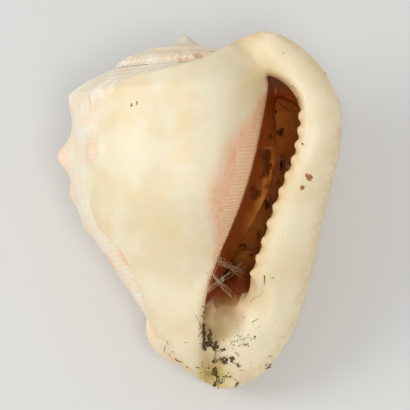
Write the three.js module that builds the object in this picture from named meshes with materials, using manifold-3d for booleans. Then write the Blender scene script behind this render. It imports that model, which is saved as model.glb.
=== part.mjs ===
// A helmet shell lying on its back with its mouth up: one piece of shell that coiled round an axis, with a
// low knobbed spire, a big body whorl, a broad smooth shield over its belly, a thick rolled outer lip with
// teeth, a long narrow mouth, and a short canal that bends back at the front end.
//
// The shell is drawn in its own frame, in millimetres: the coiling axis is Y with the apex at the top, X is
// to the right as the mouth faces you, and Z points out of the belly. The group then lays it on the ground.

import * as THREE from "three";
import { LoftGeometry } from "three/addons/geometries/LoftGeometry.js";
import { mergeVertices } from "three/addons/utils/BufferGeometryUtils.js";
import Module from "manifold-3d";

// Coil: the angle is in degrees round the axis, growing from +X towards +Z, and it ends at the outer lip.
const APEX_Y = 89;
const KNOB_SPACING = 38;
const COIL_END = 22.5;
const PARIETAL_ANGLE = -360;
const PARIETAL_RADIUS = 44;
const GROWTH_PER_QUARTER = 0.14;
const GROWTH_SLOWING = 0.0088;
const SPIRE_SLOPE = 0.2765;
const SPIRE_CURVE = 0.00469;
const LEFT_RADIUS = 56.2;
const LEFT_LENGTH = 158;
const LENGTH_GROWTH = 0.446;
const LAST_FRONT_Y = -74;
const AXIS_GAP = 0.05;

// The small whorls near the apex lie lower than that curve: by how much, and the radii it comes in between.
const SPIRE_DIP = 3;
const DIP_FROM = 24;
const DIP_TO = 4;

// Hollow in a whorl: the thickness of the wall outside it, and where its top and its front end are, as
// shares of the whorl's length from the shoulder. Its top rises towards the mouth.
const WALL = 4.2;
const HOLLOW_TOP = -0.05;
const MOUTH_TOP = -0.13;
const MOUTH_SPAN = 60;
const HOLLOW_FRONT = 0.8;

// Solid core round the axis: [radius, y].
const CORE = [
  [0, -72], [3.5, -66], [8, -30], [14, 0], [21, 40], [21, 64], [15, 75], [9, 80.5], [5.2, 83.5], [3.3, 86],
  [2.2, 88.2], [0, 89.4],
];
const CORE_SIDES = 12;

// Side of a whorl from its shoulder to its front end: [share of the length, share of the shoulder radius].
const WHORL_SIDE = [
  [0, 1], [0.12, 1.01], [0.245, 1.026], [0.35, 1.01], [0.45, 0.956], [0.524, 0.875], [0.611, 0.745],
  [0.698, 0.615], [0.8, 0.455], [0.88, 0.33], [0.95, 0.2], [1, 0.1],
];

// The coil is cut finely on the body whorl, more coarsely on the spire and again at its tip: how many
// steps back from the lip each part starts and ends, the angle of a step, the ramp, and the side's shares.
const BODY_PART = {
  first: 58, last: 0, step: KNOB_SPACING / 6, together: 20, ramp: 3,
  shares: [0, 0.05, 0.12, 0.195, 0.242, 0.29, 0.345, 0.393, 0.445, 0.515, 0.6, 0.7, 0.82, 0.92, 1],
};
const SPIRE_PART = {
  first: 86, last: 28, step: KNOB_SPACING / 3, together: 14, ramp: 2, shares: [0, 0.08, 0.25, 1],
};
const TIP_PART = {
  first: 85, last: 42, step: KNOB_SPACING / 1.5, together: 7, ramp: 2, shares: [0, 0.15, 1],
};

// Rows of knobs: share of the whorl's length, then their height on the back, their height on the left side
// and their half width as shares of the radius. They die away under the shield, round the belly, and at
// the lip.
const KNOB_START = COIL_END - (32 / 6) * KNOB_SPACING;
const KNOB_ROWS = [
  { at: 0.02, back: 0.085, left: 0.045, width: 0.12 },
  { at: 0.242, back: 0.105, left: 0.125, width: 0.125 },
  { at: 0.393, back: 0.045, left: 0.045, width: 0.085 },
  { at: 0.515, back: 0.035, left: 0.03, width: 0.075 },
];
const LEFT_ANGLE = -180;
const LEFT_SPAN = 30;
const BELLY_ANGLE = -288;
const BELLY_SPAN = 70;
const KNOB_FADE = 14;
const LAST_KNOB_END = 2;

// Round the mouth, clockwise from the groove at its top. Each row cuts across the lip or the shield:
// the mouth's edge x, y, z, the outer edge x, y, z, the height of the arch between them, how far it is
// shield (1) and not lip (0), its thickness, and how high its outer edge stands off the whorl.
const MOUTH_CUTS = [
  [38.5, 69.5, 21, 27.5, 87, 20, 5, 0, 10, 1],
  [46, 67, 25, 42, 90, 22, 8, 0, 13, 1],
  [52.5, 62, 27, 58, 83.5, 22, 9, 0, 16, 1],
  [57, 54, 29, 71, 69.5, 22, 9.5, 0, 18, 1],
  [57, 41, 30, 77.5, 52, 23, 10, 0, 20, 1],
  [54, 27, 30, 77.5, 34, 23, 10.5, 0, 20, 1],
  [48, 12, 28.5, 73.5, 14, 20, 10.5, 0, 20, 1],
  [42.5, -3, 26, 69, -4, 17, 10.5, 0, 20, 1],
  [37, -20, 23, 65, -24, 12, 10, 0, 20, 1],
  [31.5, -35, 19, 59.5, -46, 6, 10, 0, 20, 1],
  [26.5, -47, 14, 52, -65, 0, 9, 0, 19, 1],
  [21.5, -57, 10, 39, -82, -6, 8, 0, 18, 1],
  [16, -62.5, 5, 25, -89, -12, 5, 0, 16, 1],
  [11.5, -63.5, 1, 15, -89, -21, 0, 0, 14, 1],
  [8.5, -60, 12, 4, -83, -9, 7, 0, 14, 1],
  [9, -49, 19, -8, -73, -2, 9, 0.1, 12, 2],
  [11.5, -37, 23, -17.5, -57, 5, 12, 0.4, 10, 2.5],
  [16, -23, 26, -22.5, -39, 18, 10, 0.8, 7, 2.5],
  [22, -9, 28.5, -31, -21, 26, 10, 1, 6, 2.2],
  [28, 6, 31, -44, -5, 26, 10, 1, 6, 1],
  [33.5, 24, 31, -47.5, 15, 29, 12, 1, 6, 0.3],
  [37.5, 42, 27.5, -43, 38, 35, 12, 1, 6, 0.3],
  [40, 56, 25, -31, 64, 38, 12, 1, 12, 0.6],
  [41, 62.5, 23.5, -10, 70.8, 35, 10, 0.95, 22, 0.8],
  [40.5, 66, 23, 8, 76, 30, 8, 0.8, 24, 1],
  [39.5, 68.5, 22.5, 21.5, 83.2, 26, 6, 0.35, 18, 1.2],
];
const CUTS_PER_ROW = 2;
const RIM_ARCS = 4;
const RIM_STEPS = 8;
const SHIELD_LIFT = 1.6;
const SHIELD_SLOPE = 0.5;
const COLUMELLA_WIDTH = 0.25;

// Rounded teeth on the lip and small folds on the columella, between two places round the mouth: how many,
// the share of the way across the rim where they sit, and their half length and half width.
const LIP_TEETH = { from: 3.6, to: 9.2, count: 12, share: 0.05, length: 2.9, width: 2.3 };
const COLUMELLA_FOLDS = { from: 15, to: 18.6, count: 11, share: 0.012, length: 2.2, width: 1.1 };

// Front end of the columella and the ridge that the canal's old ends leave round it: x, y, z, radius.
const FRONT_COLUMN = [
  [-3, -40, 4, 12], [-3, -55, 1, 12], [1, -66, -6, 9.5], [5, -74, -12, 7], [8.5, -81, -17, 3],
];
const FRONT_RIDGE = [
  [-14, -44, 9, 1.5], [-15.5, -54, 5, 3.8], [-14.5, -62, -1, 4.8], [-9.5, -68.5, -7, 5.2],
  [-2, -72.5, -12, 4.8], [5, -76, -16, 4.2], [10, -79, -19, 2],
];

// Canal from the front of the mouth: x, y, z, radius of the way cut through before the rim lines it.
const CANAL = [[13, -58, 14, 7], [14, -72, 3, 8], [15.5, -88, -8, 9]];

// Web between the back of the lip and the whorl: the height on the whorl that each cut's web reaches.
const WEB_ANGLE = -42;
const WEB_ROOT_Y = [
  [0, 67], [1, 63], [2, 58], [3, 50], [4, 41], [5, 29], [6, 13], [7, -3], [8, -19], [9, -34],
  [10, -46], [11, -55], [12, -61], [13, -65], [14, -68],
];

// Direction in the shell's own frame that faces the ground when it lies at rest.
const DOWN = [0.064, -0.289, -0.955];

const degrees = (angle) => (angle * Math.PI) / 180;
const clamp01 = (value) => Math.min(1, Math.max(0, value));
const mix = (a, b, share) => a + (b - a) * share;
const ease = (low, high, value) => {
  const t = clamp01((value - low) / (high - low));
  return t * t * (3 - 2 * t);
};

// The smooth curve through a list of [x, value] points, read at x.
function through(points, x) {
  const last = points.length - 1;
  let i = 0;
  while (i < last - 1 && x > points[i + 1][0]) i += 1;
  const [x0, y0] = points[i];
  const [x1, y1] = points[i + 1];
  const before = points[Math.max(i - 1, 0)];
  const after = points[Math.min(i + 2, last)];
  const slope0 = (y1 - before[1]) / (x1 - before[0]);
  const slope1 = (after[1] - y0) / (after[0] - x0);
  const t = clamp01((x - x0) / (x1 - x0));
  const gap = x1 - x0;
  const t2 = t * t;
  const t3 = t2 * t;
  return (
    (2 * t3 - 3 * t2 + 1) * y0 + (t3 - 2 * t2 + t) * gap * slope0 +
    (3 * t2 - 2 * t3) * y1 + (t3 - t2) * gap * slope1
  );
}

// The smooth row between the mouth's cuts, at a place counted in cuts round the mouth.
function mouthCut(place) {
  const n = MOUTH_CUTS.length;
  const i = Math.floor(place);
  const t = place - i;
  const [a, b, c, d] = [-1, 0, 1, 2].map((k) => MOUTH_CUTS[(i + k + n) % n]);
  return b.map((p, k) => {
    const m0 = (c[k] - a[k]) / 2;
    const m1 = (d[k] - p) / 2;
    const drop = c[k] - p;
    return p + t * (m0 + t * (3 * drop - 2 * m0 - m1 + t * (m0 + m1 - 2 * drop)));
  });
}

const shoulderRadius = (angle) => {
  const quarters = (angle - PARIETAL_ANGLE) / 90;
  const late = Math.max(quarters, 0);
  return PARIETAL_RADIUS * Math.exp(GROWTH_PER_QUARTER * quarters - GROWTH_SLOWING * late * late);
};
const shoulderY = (angle) => {
  const radius = shoulderRadius(angle);
  const dip = SPIRE_DIP * ease(DIP_FROM, DIP_TO, radius);
  return APEX_Y - SPIRE_SLOPE * radius - SPIRE_CURVE * radius * radius - dip;
};
const frontY = (angle) => {
  const length = LEFT_LENGTH * (shoulderRadius(angle) / LEFT_RADIUS) ** LENGTH_GROWTH;
  return Math.max(APEX_Y - length, LAST_FRONT_Y);
};
const sutureRadius = (angle) => shoulderRadius(angle - 360) * 0.99;
const sutureY = (angle) => shoulderY(angle - 360) - 0.1 * shoulderRadius(angle - 360);

function knobs(angle, share) {
  const radius = shoulderRadius(angle);
  const length = shoulderY(angle) - frontY(angle);
  const step = (angle - KNOB_START) / KNOB_SPACING;
  const offAngle = (step - Math.round(step)) * KNOB_SPACING;
  const offBelly = 1 - ease(BELLY_SPAN + KNOB_FADE, BELLY_SPAN - KNOB_FADE, Math.abs(angle - BELLY_ANGLE));
  const offLip = ease(LAST_KNOB_END, LAST_KNOB_END - KNOB_FADE, angle);
  const onLeft = Math.exp(-(((angle - LEFT_ANGLE) / LEFT_SPAN) ** 2));
  let height = 0;
  for (const row of KNOB_ROWS) {
    const across = degrees(offAngle) / row.width;
    const along = ((share - row.at) * length) / (row.width * radius);
    height += mix(row.back, row.left, onLeft) * radius * Math.exp(-across * across - along * along);
  }
  return height * offBelly * offLip;
}

// Radius of a whorl's smooth outside at an angle and a height: its side, or its ramp above the shoulder.
function whorlRadius(angle, y) {
  const top = shoulderY(angle);
  const radius = shoulderRadius(angle);
  if (y > top) return mix(radius, sutureRadius(angle), clamp01((y - top) / (sutureY(angle) - top)));
  return radius * through(WHORL_SIDE, clamp01((top - y) / (top - frontY(angle))));
}

const polar = (angle, radius, y) =>
  new THREE.Vector3(radius * Math.cos(degrees(angle)), y, radius * Math.sin(degrees(angle)));

// One cut through a whorl: the ramp from the suture to the shoulder, the side, and back up beside the axis.
function whorlSection(angle, rampSteps, shares) {
  const radius = shoulderRadius(angle);
  const top = shoulderY(angle);
  const front = frontY(angle);
  const points = [];
  for (let i = 0; i < rampSteps; i += 1) {
    const t = i / rampSteps;
    const swell = 0.04 * radius * Math.sin(Math.PI * t);
    const bump = 0.7 * knobs(angle, 0) * Math.exp(-(((1 - t) / 0.45) ** 2));
    points.push([mix(sutureRadius(angle), radius, t), mix(sutureY(angle), top, t) + swell + bump]);
  }
  for (const share of shares) {
    points.push([radius * through(WHORL_SIDE, share) + knobs(angle, share), mix(top, front, share)]);
  }
  points.push([AXIS_GAP * radius, front]);
  points.push([AXIS_GAP * radius, sutureY(angle) - 0.25 * radius]);
  return points.reverse().map(([r, y]) => polar(angle, r, y));
}

// Radius of the whorl under the shield, which goes on past the shoulder in a gentle slope.
function shieldRadius(angle, y) {
  const top = shoulderY(angle);
  return whorlRadius(angle, Math.min(y, top)) - SHIELD_SLOPE * Math.max(y - top, 0);
}

// Height of the belly over the point x, y.
function bellyZ(x, y) {
  let low = 0;
  let high = 180;
  for (let i = 0; i < 24; i += 1) {
    const middle = (low + high) / 2;
    if (shieldRadius(middle - 360, y) * Math.cos(degrees(middle)) > x) low = middle;
    else high = middle;
  }
  return shieldRadius(low - 360, y) * Math.sin(degrees(low));
}

// A point on the front of the lip or the shield: at a place round the mouth, and a share of the way out.
function rimPoint(place, share) {
  const [ix, iy, iz, ox, oy, oz, arch, shield, , lift] = mouthCut(place);
  const x = mix(ix, ox, share);
  const y = mix(iy, oy, share);
  const bow = (4 * share * (1 - share)) ** 0.4;
  const arched = mix(iz, oz, share) + arch * bow;
  const onBelly = shield > 0 ? bellyZ(x, y) + mix(SHIELD_LIFT, lift, ease(0.6, 1, share)) : 0;
  const rounding = Math.sqrt(1 - (1 - clamp01(share / COLUMELLA_WIDTH)) ** 2);
  return new THREE.Vector3(x, y, mix(arched, mix(iz, onBelly, rounding), clamp01(shield)));
}

// One cut through the lip or the shield: over its front from the mouth to the outer edge, and back behind.
function rimSection(place) {
  const cut = mouthCut(place);
  const shield = clamp01(cut[7]);
  const thickness = cut[8];
  const front = [];
  const back = [];
  for (let i = 0; i <= RIM_STEPS; i += 1) {
    const turn = (Math.PI * i) / RIM_STEPS;
    const share = (1 - Math.cos(turn)) / 2;
    const point = rimPoint(place, share);
    front.push(point);
    const fullness = mix(mix(1, 0.5, share), mix(0.4, 1, share), shield);
    const deep = thickness * Math.sin(turn) ** 0.6 * fullness;
    const isBack = i > 0 && i < RIM_STEPS && i % 2 === 0;
    if (isBack) back.push(new THREE.Vector3(point.x, point.y, point.z - deep));
  }
  return [...back, ...front.reverse()];
}

// One cut through the web that carries the lip: from the lip back to the whorl's wall.
function webSection(place) {
  const [ix, iy, iz, ox, oy, oz] = mouthCut(place);
  const y = through(WEB_ROOT_Y, place);
  const radius = whorlRadius(WEB_ANGLE, y);
  const inner = new THREE.Vector3(ix, iy, iz);
  const outer = new THREE.Vector3(ox, oy, oz);
  const root = polar(WEB_ANGLE, radius - 1, y);
  const deepRoot = polar(WEB_ANGLE, radius * 0.8, y);
  const edge = outer.clone().lerp(inner, 0.06).add(new THREE.Vector3(0, 0, 2));
  const underLip = inner.clone().lerp(outer, 0.2).add(new THREE.Vector3(0, 0, 2));
  const dip = edge.clone().lerp(root, 0.5).lerp(underLip, 0.3);
  const dipOut = edge.clone().lerp(dip, 0.5).lerp(underLip, 0.1);
  const dipIn = root.clone().lerp(dip, 0.5).lerp(underLip, 0.03);
  return [underLip, deepRoot, root, dipIn, dip, dipOut, edge];
}

// One cut through the hollow between a whorl's wall and the whorl inside it.
const HOLLOW_STEPS = 10;
function hollowSection(angle) {
  const highest = mix(HOLLOW_TOP, MOUTH_TOP, ease(-MOUTH_SPAN, 0, angle));
  const outside = [];
  const inside = [];
  for (let i = 0; i <= HOLLOW_STEPS; i += 1) {
    const t = i / HOLLOW_STEPS;
    const y = mix(shoulderY(angle), frontY(angle), mix(highest, HOLLOW_FRONT, t));
    const inner = whorlRadius(angle - 360, y) + 0.4;
    const wall = whorlRadius(angle, y) - WALL;
    outside.push([Math.max(wall, inner + 1), y]);
    inside.push([inner, y]);
  }
  return [...outside, ...inside.reverse()].reverse().map(([r, y]) => polar(angle, r, y));
}

// The mouth's own edge in as many points as a cut through the hollow, moved out by a height.
function mouthSection(height) {
  const outside = [];
  const inside = [];
  for (let i = 0; i <= HOLLOW_STEPS; i += 1) {
    const t = i / HOLLOW_STEPS;
    const lip = mouthCut(t * 12.2);
    const columella = mouthCut(MOUTH_CUTS.length - 0.2 - t * 11.5);
    outside.push(new THREE.Vector3(lip[0], lip[1], lip[2] + height));
    inside.push(new THREE.Vector3(columella[0], columella[1], columella[2] + height));
  }
  return [...outside, ...inside.reverse()].reverse();
}

const wasm = await Module();
wasm.setup();

function solid(geometry) {
  const bare = new THREE.BufferGeometry();
  bare.setAttribute("position", geometry.getAttribute("position"));
  bare.setIndex(geometry.index);
  const merged = mergeVertices(bare, 1e-4);
  const made = new wasm.Manifold(
    new wasm.Mesh({
      numProp: 3,
      vertProperties: merged.attributes.position.array,
      triVerts: new Uint32Array(merged.index.array),
    }),
  );
  if (made.volume() < 0) throw new Error("a piece of the shell is inside out");
  return made;
}

const loft = (cuts) => solid(new LoftGeometry(cuts, { capStart: true, capEnd: true }));
const evenly = (from, to, steps) =>
  Array.from({ length: steps + 1 }, (_, i) => mix(from, to, i / steps));

// Solids of a part of the coil, none longer than half a turn.
function coilPart({ first, last, step, together, ramp, shares }) {
  const parts = [];
  for (let k = first; k > last + 1; k -= together - 1) {
    const end = Math.max(k - together, last);
    const cuts = Array.from({ length: k - end + 1 }, (_, i) => COIL_END - (k - i) * step);
    parts.push(loft(cuts.map((angle) => whorlSection(angle, ramp, shares))));
  }
  return parts;
}

const union = (parts) => parts.reduce((all, part) => all.add(part));

const coil = union([
  solid(new THREE.LatheGeometry(CORE.map(([r, y]) => new THREE.Vector2(r, y)), CORE_SIDES)),
  ...coilPart(BODY_PART),
  ...coilPart(SPIRE_PART),
  ...coilPart(TIP_PART),
]);
const web = loft(evenly(0, 11, 14).map(webSection));
const hollow = loft([...evenly(-300, 14, 17).map(hollowSection), mouthSection(-1), mouthSection(30)]);

// The lip and the shield run right round the mouth, in arcs that share one step with the next.
function rimArc(number) {
  const steps = (MOUTH_CUTS.length * CUTS_PER_ROW) / RIM_ARCS;
  const cuts = Array.from({ length: steps + 2 }, (_, i) => (number * steps + i) / CUTS_PER_ROW);
  return loft(cuts.map((place) => rimSection(place % MOUTH_CUTS.length)));
}

// Small rounded teeth in a row along the rim, each lying across it.
function teeth({ from, to, count, share, length, width }) {
  return evenly(from, to, count - 1).map((place) => {
    const at = rimPoint(place, share);
    const along = rimPoint(place, share + 0.15).sub(at).normalize();
    const geometry = new THREE.SphereGeometry(1, 6, 4).scale(length, width, width);
    geometry.applyQuaternion(new THREE.Quaternion().setFromUnitVectors(new THREE.Vector3(1, 0, 0), along));
    return solid(geometry.translate(at.x, at.y, at.z));
  });
}

// A solid swept along a smooth line through [x, y, z, radius] points.
const SWEEP_SIDES = 8;
function sweep(points, steps) {
  const path = new THREE.CatmullRomCurve3(points.map(([x, y, z]) => new THREE.Vector3(x, y, z)));
  const radii = points.map(([, , , radius], i) => [i / (points.length - 1), radius]);
  const circle = evenly(0, 2 * Math.PI, SWEEP_SIDES).slice(1);
  return loft(evenly(0, 1, steps).map((t) => {
    const at = path.getPoint(t);
    const ahead = path.getTangent(t);
    const out = new THREE.Vector3(0, 0, 1).projectOnPlane(ahead).normalize();
    const across = new THREE.Vector3().crossVectors(ahead, out);
    const radius = through(radii, t);
    return circle.map((a) =>
      at.clone().addScaledVector(out, radius * Math.cos(a)).addScaledVector(across, radius * Math.sin(a)));
  }));
}

const rim = union(Array.from({ length: RIM_ARCS }, (_, i) => rimArc(i)));
const front = union([sweep(FRONT_COLUMN, 6), sweep(FRONT_RIDGE, 10)]);
const canal = sweep(CANAL, 4);
const ribs = union([...teeth(LIP_TEETH), ...teeth(COLUMELLA_FOLDS)]);
const whole = coil.add(web).subtract(hollow).subtract(canal).add(rim).add(front).add(ribs);

function geometryOf(made) {
  const mesh = made.getMesh();
  const geometry = new THREE.BufferGeometry();
  geometry.setAttribute("position", new THREE.BufferAttribute(mesh.vertProperties, 3));
  geometry.setIndex(new THREE.BufferAttribute(mesh.triVerts, 1));
  return geometry;
}

const shell = new THREE.Mesh(
  geometryOf(whole),
  new THREE.MeshStandardMaterial({ color: 0xf0dfba, roughness: 0.35, metalness: 0 }),
);
shell.name = "shell";

// The shell rests on the knobs of its back and on the bulge in front of them, over the middle of its box.
const lying = new THREE.Group();
lying.add(shell);
lying.quaternion.setFromUnitVectors(new THREE.Vector3(...DOWN).normalize(), new THREE.Vector3(0, 0, -1));
const box = new THREE.Box3().setFromObject(lying, true);
const middle = box.getCenter(new THREE.Vector3());
lying.position.set(-middle.x, -middle.y, -box.min.z);

export default lying;
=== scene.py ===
"""A helmet shell lying mouth up, with the dirt on its front end, on a plain pale floor.

The shell's forms are worked out in its own frame, in millimetres, as in the CAD: the coiling axis is Y with
the apex at the top, X is to the right as the mouth faces the viewer, and Z points out of the belly.
to_ground() lays them on the ground, in metres. A place on the mouth's rim is counted in cuts round the
mouth, clockwise from the groove at its top, and in the share of the way across the rim.
"""

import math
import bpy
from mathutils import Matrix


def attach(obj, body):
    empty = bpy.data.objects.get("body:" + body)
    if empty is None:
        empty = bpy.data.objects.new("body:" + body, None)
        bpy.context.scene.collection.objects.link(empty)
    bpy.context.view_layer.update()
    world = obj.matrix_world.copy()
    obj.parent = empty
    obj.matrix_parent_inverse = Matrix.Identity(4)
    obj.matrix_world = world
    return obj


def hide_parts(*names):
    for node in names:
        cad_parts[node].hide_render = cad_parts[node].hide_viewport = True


bl_info = {
    "name": "Helmet shell",
    "version": (1, 0, 0),
    "blender": (4, 5, 0),
    "location": "View3D > Sidebar > Helmet shell",
    "description": "Builds a helmet shell lying mouth up, with its dirt, on a plain pale floor",
    "category": "Add Mesh",
}

import bpy
import numpy as np
from mathutils import Matrix, Vector, kdtree
from mathutils.bvhtree import BVHTree

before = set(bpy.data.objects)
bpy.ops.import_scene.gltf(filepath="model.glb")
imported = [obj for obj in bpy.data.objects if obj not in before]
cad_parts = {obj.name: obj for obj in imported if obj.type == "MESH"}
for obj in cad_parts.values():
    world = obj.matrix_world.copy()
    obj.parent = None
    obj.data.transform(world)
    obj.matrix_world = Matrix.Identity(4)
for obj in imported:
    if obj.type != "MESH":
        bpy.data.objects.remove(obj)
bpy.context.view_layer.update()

MM = 0.001

# How the shell lies: the direction in its own frame that faces the ground, and where its own origin is.
DOWN = (0.064, -0.289, -0.955)
ORIGIN = (-7.811, -2.044, 58.2)

# Coil: the angle is in degrees round the axis, growing from +X towards +Z, and it ends at the outer lip.
APEX_Y = 89.0
KNOB_SPACING = 38.0
TIP_START = -2131.0
TIP_END = -1064.0
COIL_END = 22.5
PARIETAL_ANGLE = -360.0
PARIETAL_RADIUS = 44.0
GROWTH_PER_QUARTER = 0.14
GROWTH_SLOWING = 0.0088
SPIRE_SLOPE = 0.2765
SPIRE_CURVE = 0.00469
LEFT_RADIUS = 56.2
LEFT_LENGTH = 158.0
LENGTH_GROWTH = 0.446
LAST_FRONT_Y = -74.0
AXIS_GAP = 0.05

# Suture, where a whorl meets the one before it: share of that whorl's radius, and drop below its shoulder.
SUTURE_SHARE = 0.99
SUTURE_DROP = 0.1

# The small whorls near the apex lie lower than that curve: by how much, and the radii it comes in between.
SPIRE_DIP = 3.0
DIP_FROM = 24.0
DIP_TO = 4.0

# Hollow in a whorl: its first and last angle, the wall's thickness, and where its top and front end are, as
# shares of the whorl's length from the shoulder. Its top rises towards the mouth.
HOLLOW_ANGLES = (-300, 14)
WALL = 4.2
HOLLOW_TOP = -0.05
MOUTH_TOP = -0.13
MOUTH_SPAN = 60.0
HOLLOW_FRONT = 0.8

# Solid core round the axis: radius, y.
CORE = [
    (0, -72), (3.5, -66), (8, -30), (14, 0), (21, 40), (21, 64), (15, 76), (9.5, 81), (6.6, 83.2),
    (4.8, 84.8), (3.4, 86.8), (2.5, 88.2), (1.5, 89.1), (0, 89.4),
]

# Side of a whorl from its shoulder to its front end: (share of the length, share of the shoulder radius).
WHORL_SIDE = [
    (0, 1), (0.12, 1.01), (0.245, 1.026), (0.35, 1.01), (0.45, 0.956), (0.524, 0.875), (0.611, 0.745),
    (0.698, 0.615), (0.8, 0.455), (0.88, 0.33), (0.95, 0.2), (1, 0.1),
]

# Rows of knobs: share of the whorl's length, then height on the back, height on the left side and half
# width as shares of the radius. The knobs die away under the shield, round the belly, and at the lip.
KNOB_START = COIL_END - (32 / 6) * KNOB_SPACING
KNOB_ROWS = [
    (0.02, 0.085, 0.045, 0.12), (0.242, 0.105, 0.125, 0.125), (0.393, 0.045, 0.045, 0.085),
    (0.515, 0.035, 0.03, 0.075),
]
LEFT_ANGLE = -180.0
LEFT_SPAN = 30.0
BELLY_ANGLE = -288.0
BELLY_SPAN = 70.0
KNOB_FADE = 14.0
LAST_KNOB_END = 2.0

# Round the mouth: the mouth's edge x, y, z, the outer edge x, y, z, the height of the arch between them,
# how far it is shield (1) and not lip (0), its thickness, and how high its outer edge stands off the whorl.
MOUTH_CUTS = np.array([
    (38.5, 69.5, 21, 27.5, 87, 20, 5, 0, 10, 1),
    (46, 67, 25, 42, 90, 22, 8, 0, 13, 1),
    (52.5, 62, 27, 57.3, 82.6, 22, 9, 0, 16, 1),
    (57, 54, 29, 70, 68.8, 22, 9.5, 0, 18, 1),
    (57, 41, 30, 77.5, 52, 23, 10, 0, 20, 1),
    (54, 27, 30, 77.5, 34, 23, 10.5, 0, 20, 1),
    (48, 12, 28.5, 73.5, 14, 20, 10.5, 0, 20, 1),
    (42.5, -3, 26, 69, -4, 17, 10.5, 0, 20, 1),
    (37, -20, 23, 65, -24, 12, 10, 0, 20, 1),
    (31.5, -35, 19, 59.5, -46, 6, 10, 0, 20, 1),
    (26.5, -47, 14, 52, -65, 0, 9, 0, 19, 1),
    (21.5, -57, 10, 39, -82, -6, 8, 0, 18, 1),
    (16, -62.5, 5, 25, -89, -12, 5, 0, 16, 1),
    (11.5, -63.5, 1, 15, -89, -21, 0, 0, 14, 1),
    (8.5, -60, 12, 4, -83, -9, 7, 0, 14, 1),
    (9, -49, 19, -8, -73, -2, 9, 0.1, 12, 2),
    (11.5, -37, 23, -17.5, -57, 5, 12, 0.4, 10, 2.5),
    (16, -23, 26, -22.5, -39, 18, 10, 0.8, 7, 2.5),
    (22, -9, 28.5, -31, -21, 26, 10, 1, 6, 2.2),
    (28, 6, 31, -44, -5, 26, 10, 1, 6, 1),
    (33.5, 24, 31, -47.5, 15, 29, 12, 1, 6, 0.3),
    (37.5, 42, 27.5, -43, 38, 35, 12, 1, 6, 0.3),
    (40, 56, 25, -31, 64, 38, 12, 1, 12, 0.6),
    (41, 62.5, 23.5, -10, 70.8, 35, 10, 0.95, 22, 0.8),
    (40.5, 66, 23, 8, 76, 30, 8, 0.8, 24, 1),
    (39.5, 68.5, 22.5, 21.5, 83.2, 26, 6, 0.35, 18, 1.2),
], float)
PLACES = len(MOUTH_CUTS)
MOUTH_LOW = (-12, -70, -12)
MOUTH_HIGH = (62, 76, 200)
SHIELD_LIFT = 1.6
SHIELD_SLOPE = 0.5
COLUMELLA_WIDTH = 0.25

# Teeth on the lip and folds on the columella: first and last place, how many, the share of the way across
# the rim where they sit, and their half length, width and height.
LIP_TEETH = (3.6, 9.2, 12, 0.05, 3.0, 3.1, 1.5)
COLUMELLA_FOLDS = (15, 18.8, 17, 0.008, 1.7, 0.85, 0.85)
TOOTH_SINK = 0.4

# Front end of the columella, the ridge round it, and the canal: x, y, z, radius.
FRONT_COLUMN = [(-3, -40, 4, 12), (-3, -55, 1, 12), (1, -66, -6, 9.5), (5, -74, -12, 7), (8.5, -81, -17, 3)]
FRONT_RIDGE = [
    (-14, -44, 9, 1.5), (-15.5, -54, 5, 3.8), (-14.5, -62, -1, 4.8), (-9.5, -68.5, -7, 5.2),
    (-2, -72.5, -12, 4.8), (5, -76, -16, 4.2), (10, -79, -19, 2),
]
CANAL = [(13, -58, 14, 7), (14, -72, 3, 8), (15.5, -88, -8, 9)]

# Slope that leads from inside the mouth up to the canal, the bank beside it, and the scoop that hollows the
# lip's inner edge there: x, y, z, radius.
CANAL_SLOPE = [(13, -58, -4, 11), (14.5, -51, -5, 12), (18.5, -42, -14, 12), (25, -28, -36, 12)]
CANAL_BANK = [
    (18, -61, -5, 11), (22, -53, -3, 12), (25.5, -45, -5, 12), (29, -36, -14, 11), (32, -26, -26, 9),
]
CANAL_SCOOP = [(19, -64, 21, 11), (22, -57, 24, 14), (27, -49, 27, 16), (28, -43, 32, 15)]

# Web between the back of the lip and the whorl: the height on the whorl that each cut's web reaches.
WEB_ANGLE = -42.0
WEB_ROOT_Y = [
    (0, 67), (1, 63), (2, 58), (3, 50), (4, 41), (5, 29), (6, 13), (7, -3), (8, -19), (9, -34), (10, -46),
    (11, -55), (12, -61), (13, -65), (14, -68),
]

# The photograph's frame, in the shell's own: what its middle looks at, its width, and how far it stands.
LOOKS_AT = (10.0, 3.5, 12.0)
FRAME_WIDTH = 205.0
CAMERA_DISTANCE = 2000.0
SENSOR_WIDTH = 36.0

# Pixels of the 410 pixel photograph: the millimetres of one, and where the shell's axis and middle are.
PIXEL = 0.5
AXIS_PIXEL = 185.0
CENTRE_PIXEL = 212.0

# Spans on the belly, each from 0 at its outer values to 1 at its inner ones: places round the mouth that
# have teeth and folds, and the bowl where the lip runs into the canal.
TEETH_SPAN = (3.0, 3.3, 9.5, 9.8)
FOLDS_SPAN = (14.8, 15.3, 24.7, 25.2)
BOWL_X = (10, 14, 44, 48)
BOWL_Y = (-76, -70, -36, -32)

# The bowl in the canal, painted tan as painted shade: its middle x and y, its half width and half height.
CANAL_BOWL_SHADE = (19, -55, 13, 11)

# Where forms are smoothed into each other: rounds, whether that only fills cracks, and the spans covered.
# They are the shield's seam, the spire, the canal, the top of the mouth, and the cracks between whorls.
SMOOTHED = [
    (14, False, {"x": (3, 9, 27, 30), "y": (68, 72, 79, 81.5), "z": (8, 14)}),
    (8, False, {"y": (60, 66), "radius": (46, 40)}),
    (150, False, {"x": (11, 14, 38, 46), "y": (-72, -64, -38, -30), "z": (-34, -24)}),
    (60, False, {"x": (40, 43, 62, 66), "y": (40, 45, 66, 68), "z": (-12, -6, 17, 22)}),
    (240, True, {"y": (54, 60), "radius": (58, 52)}),
]

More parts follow.
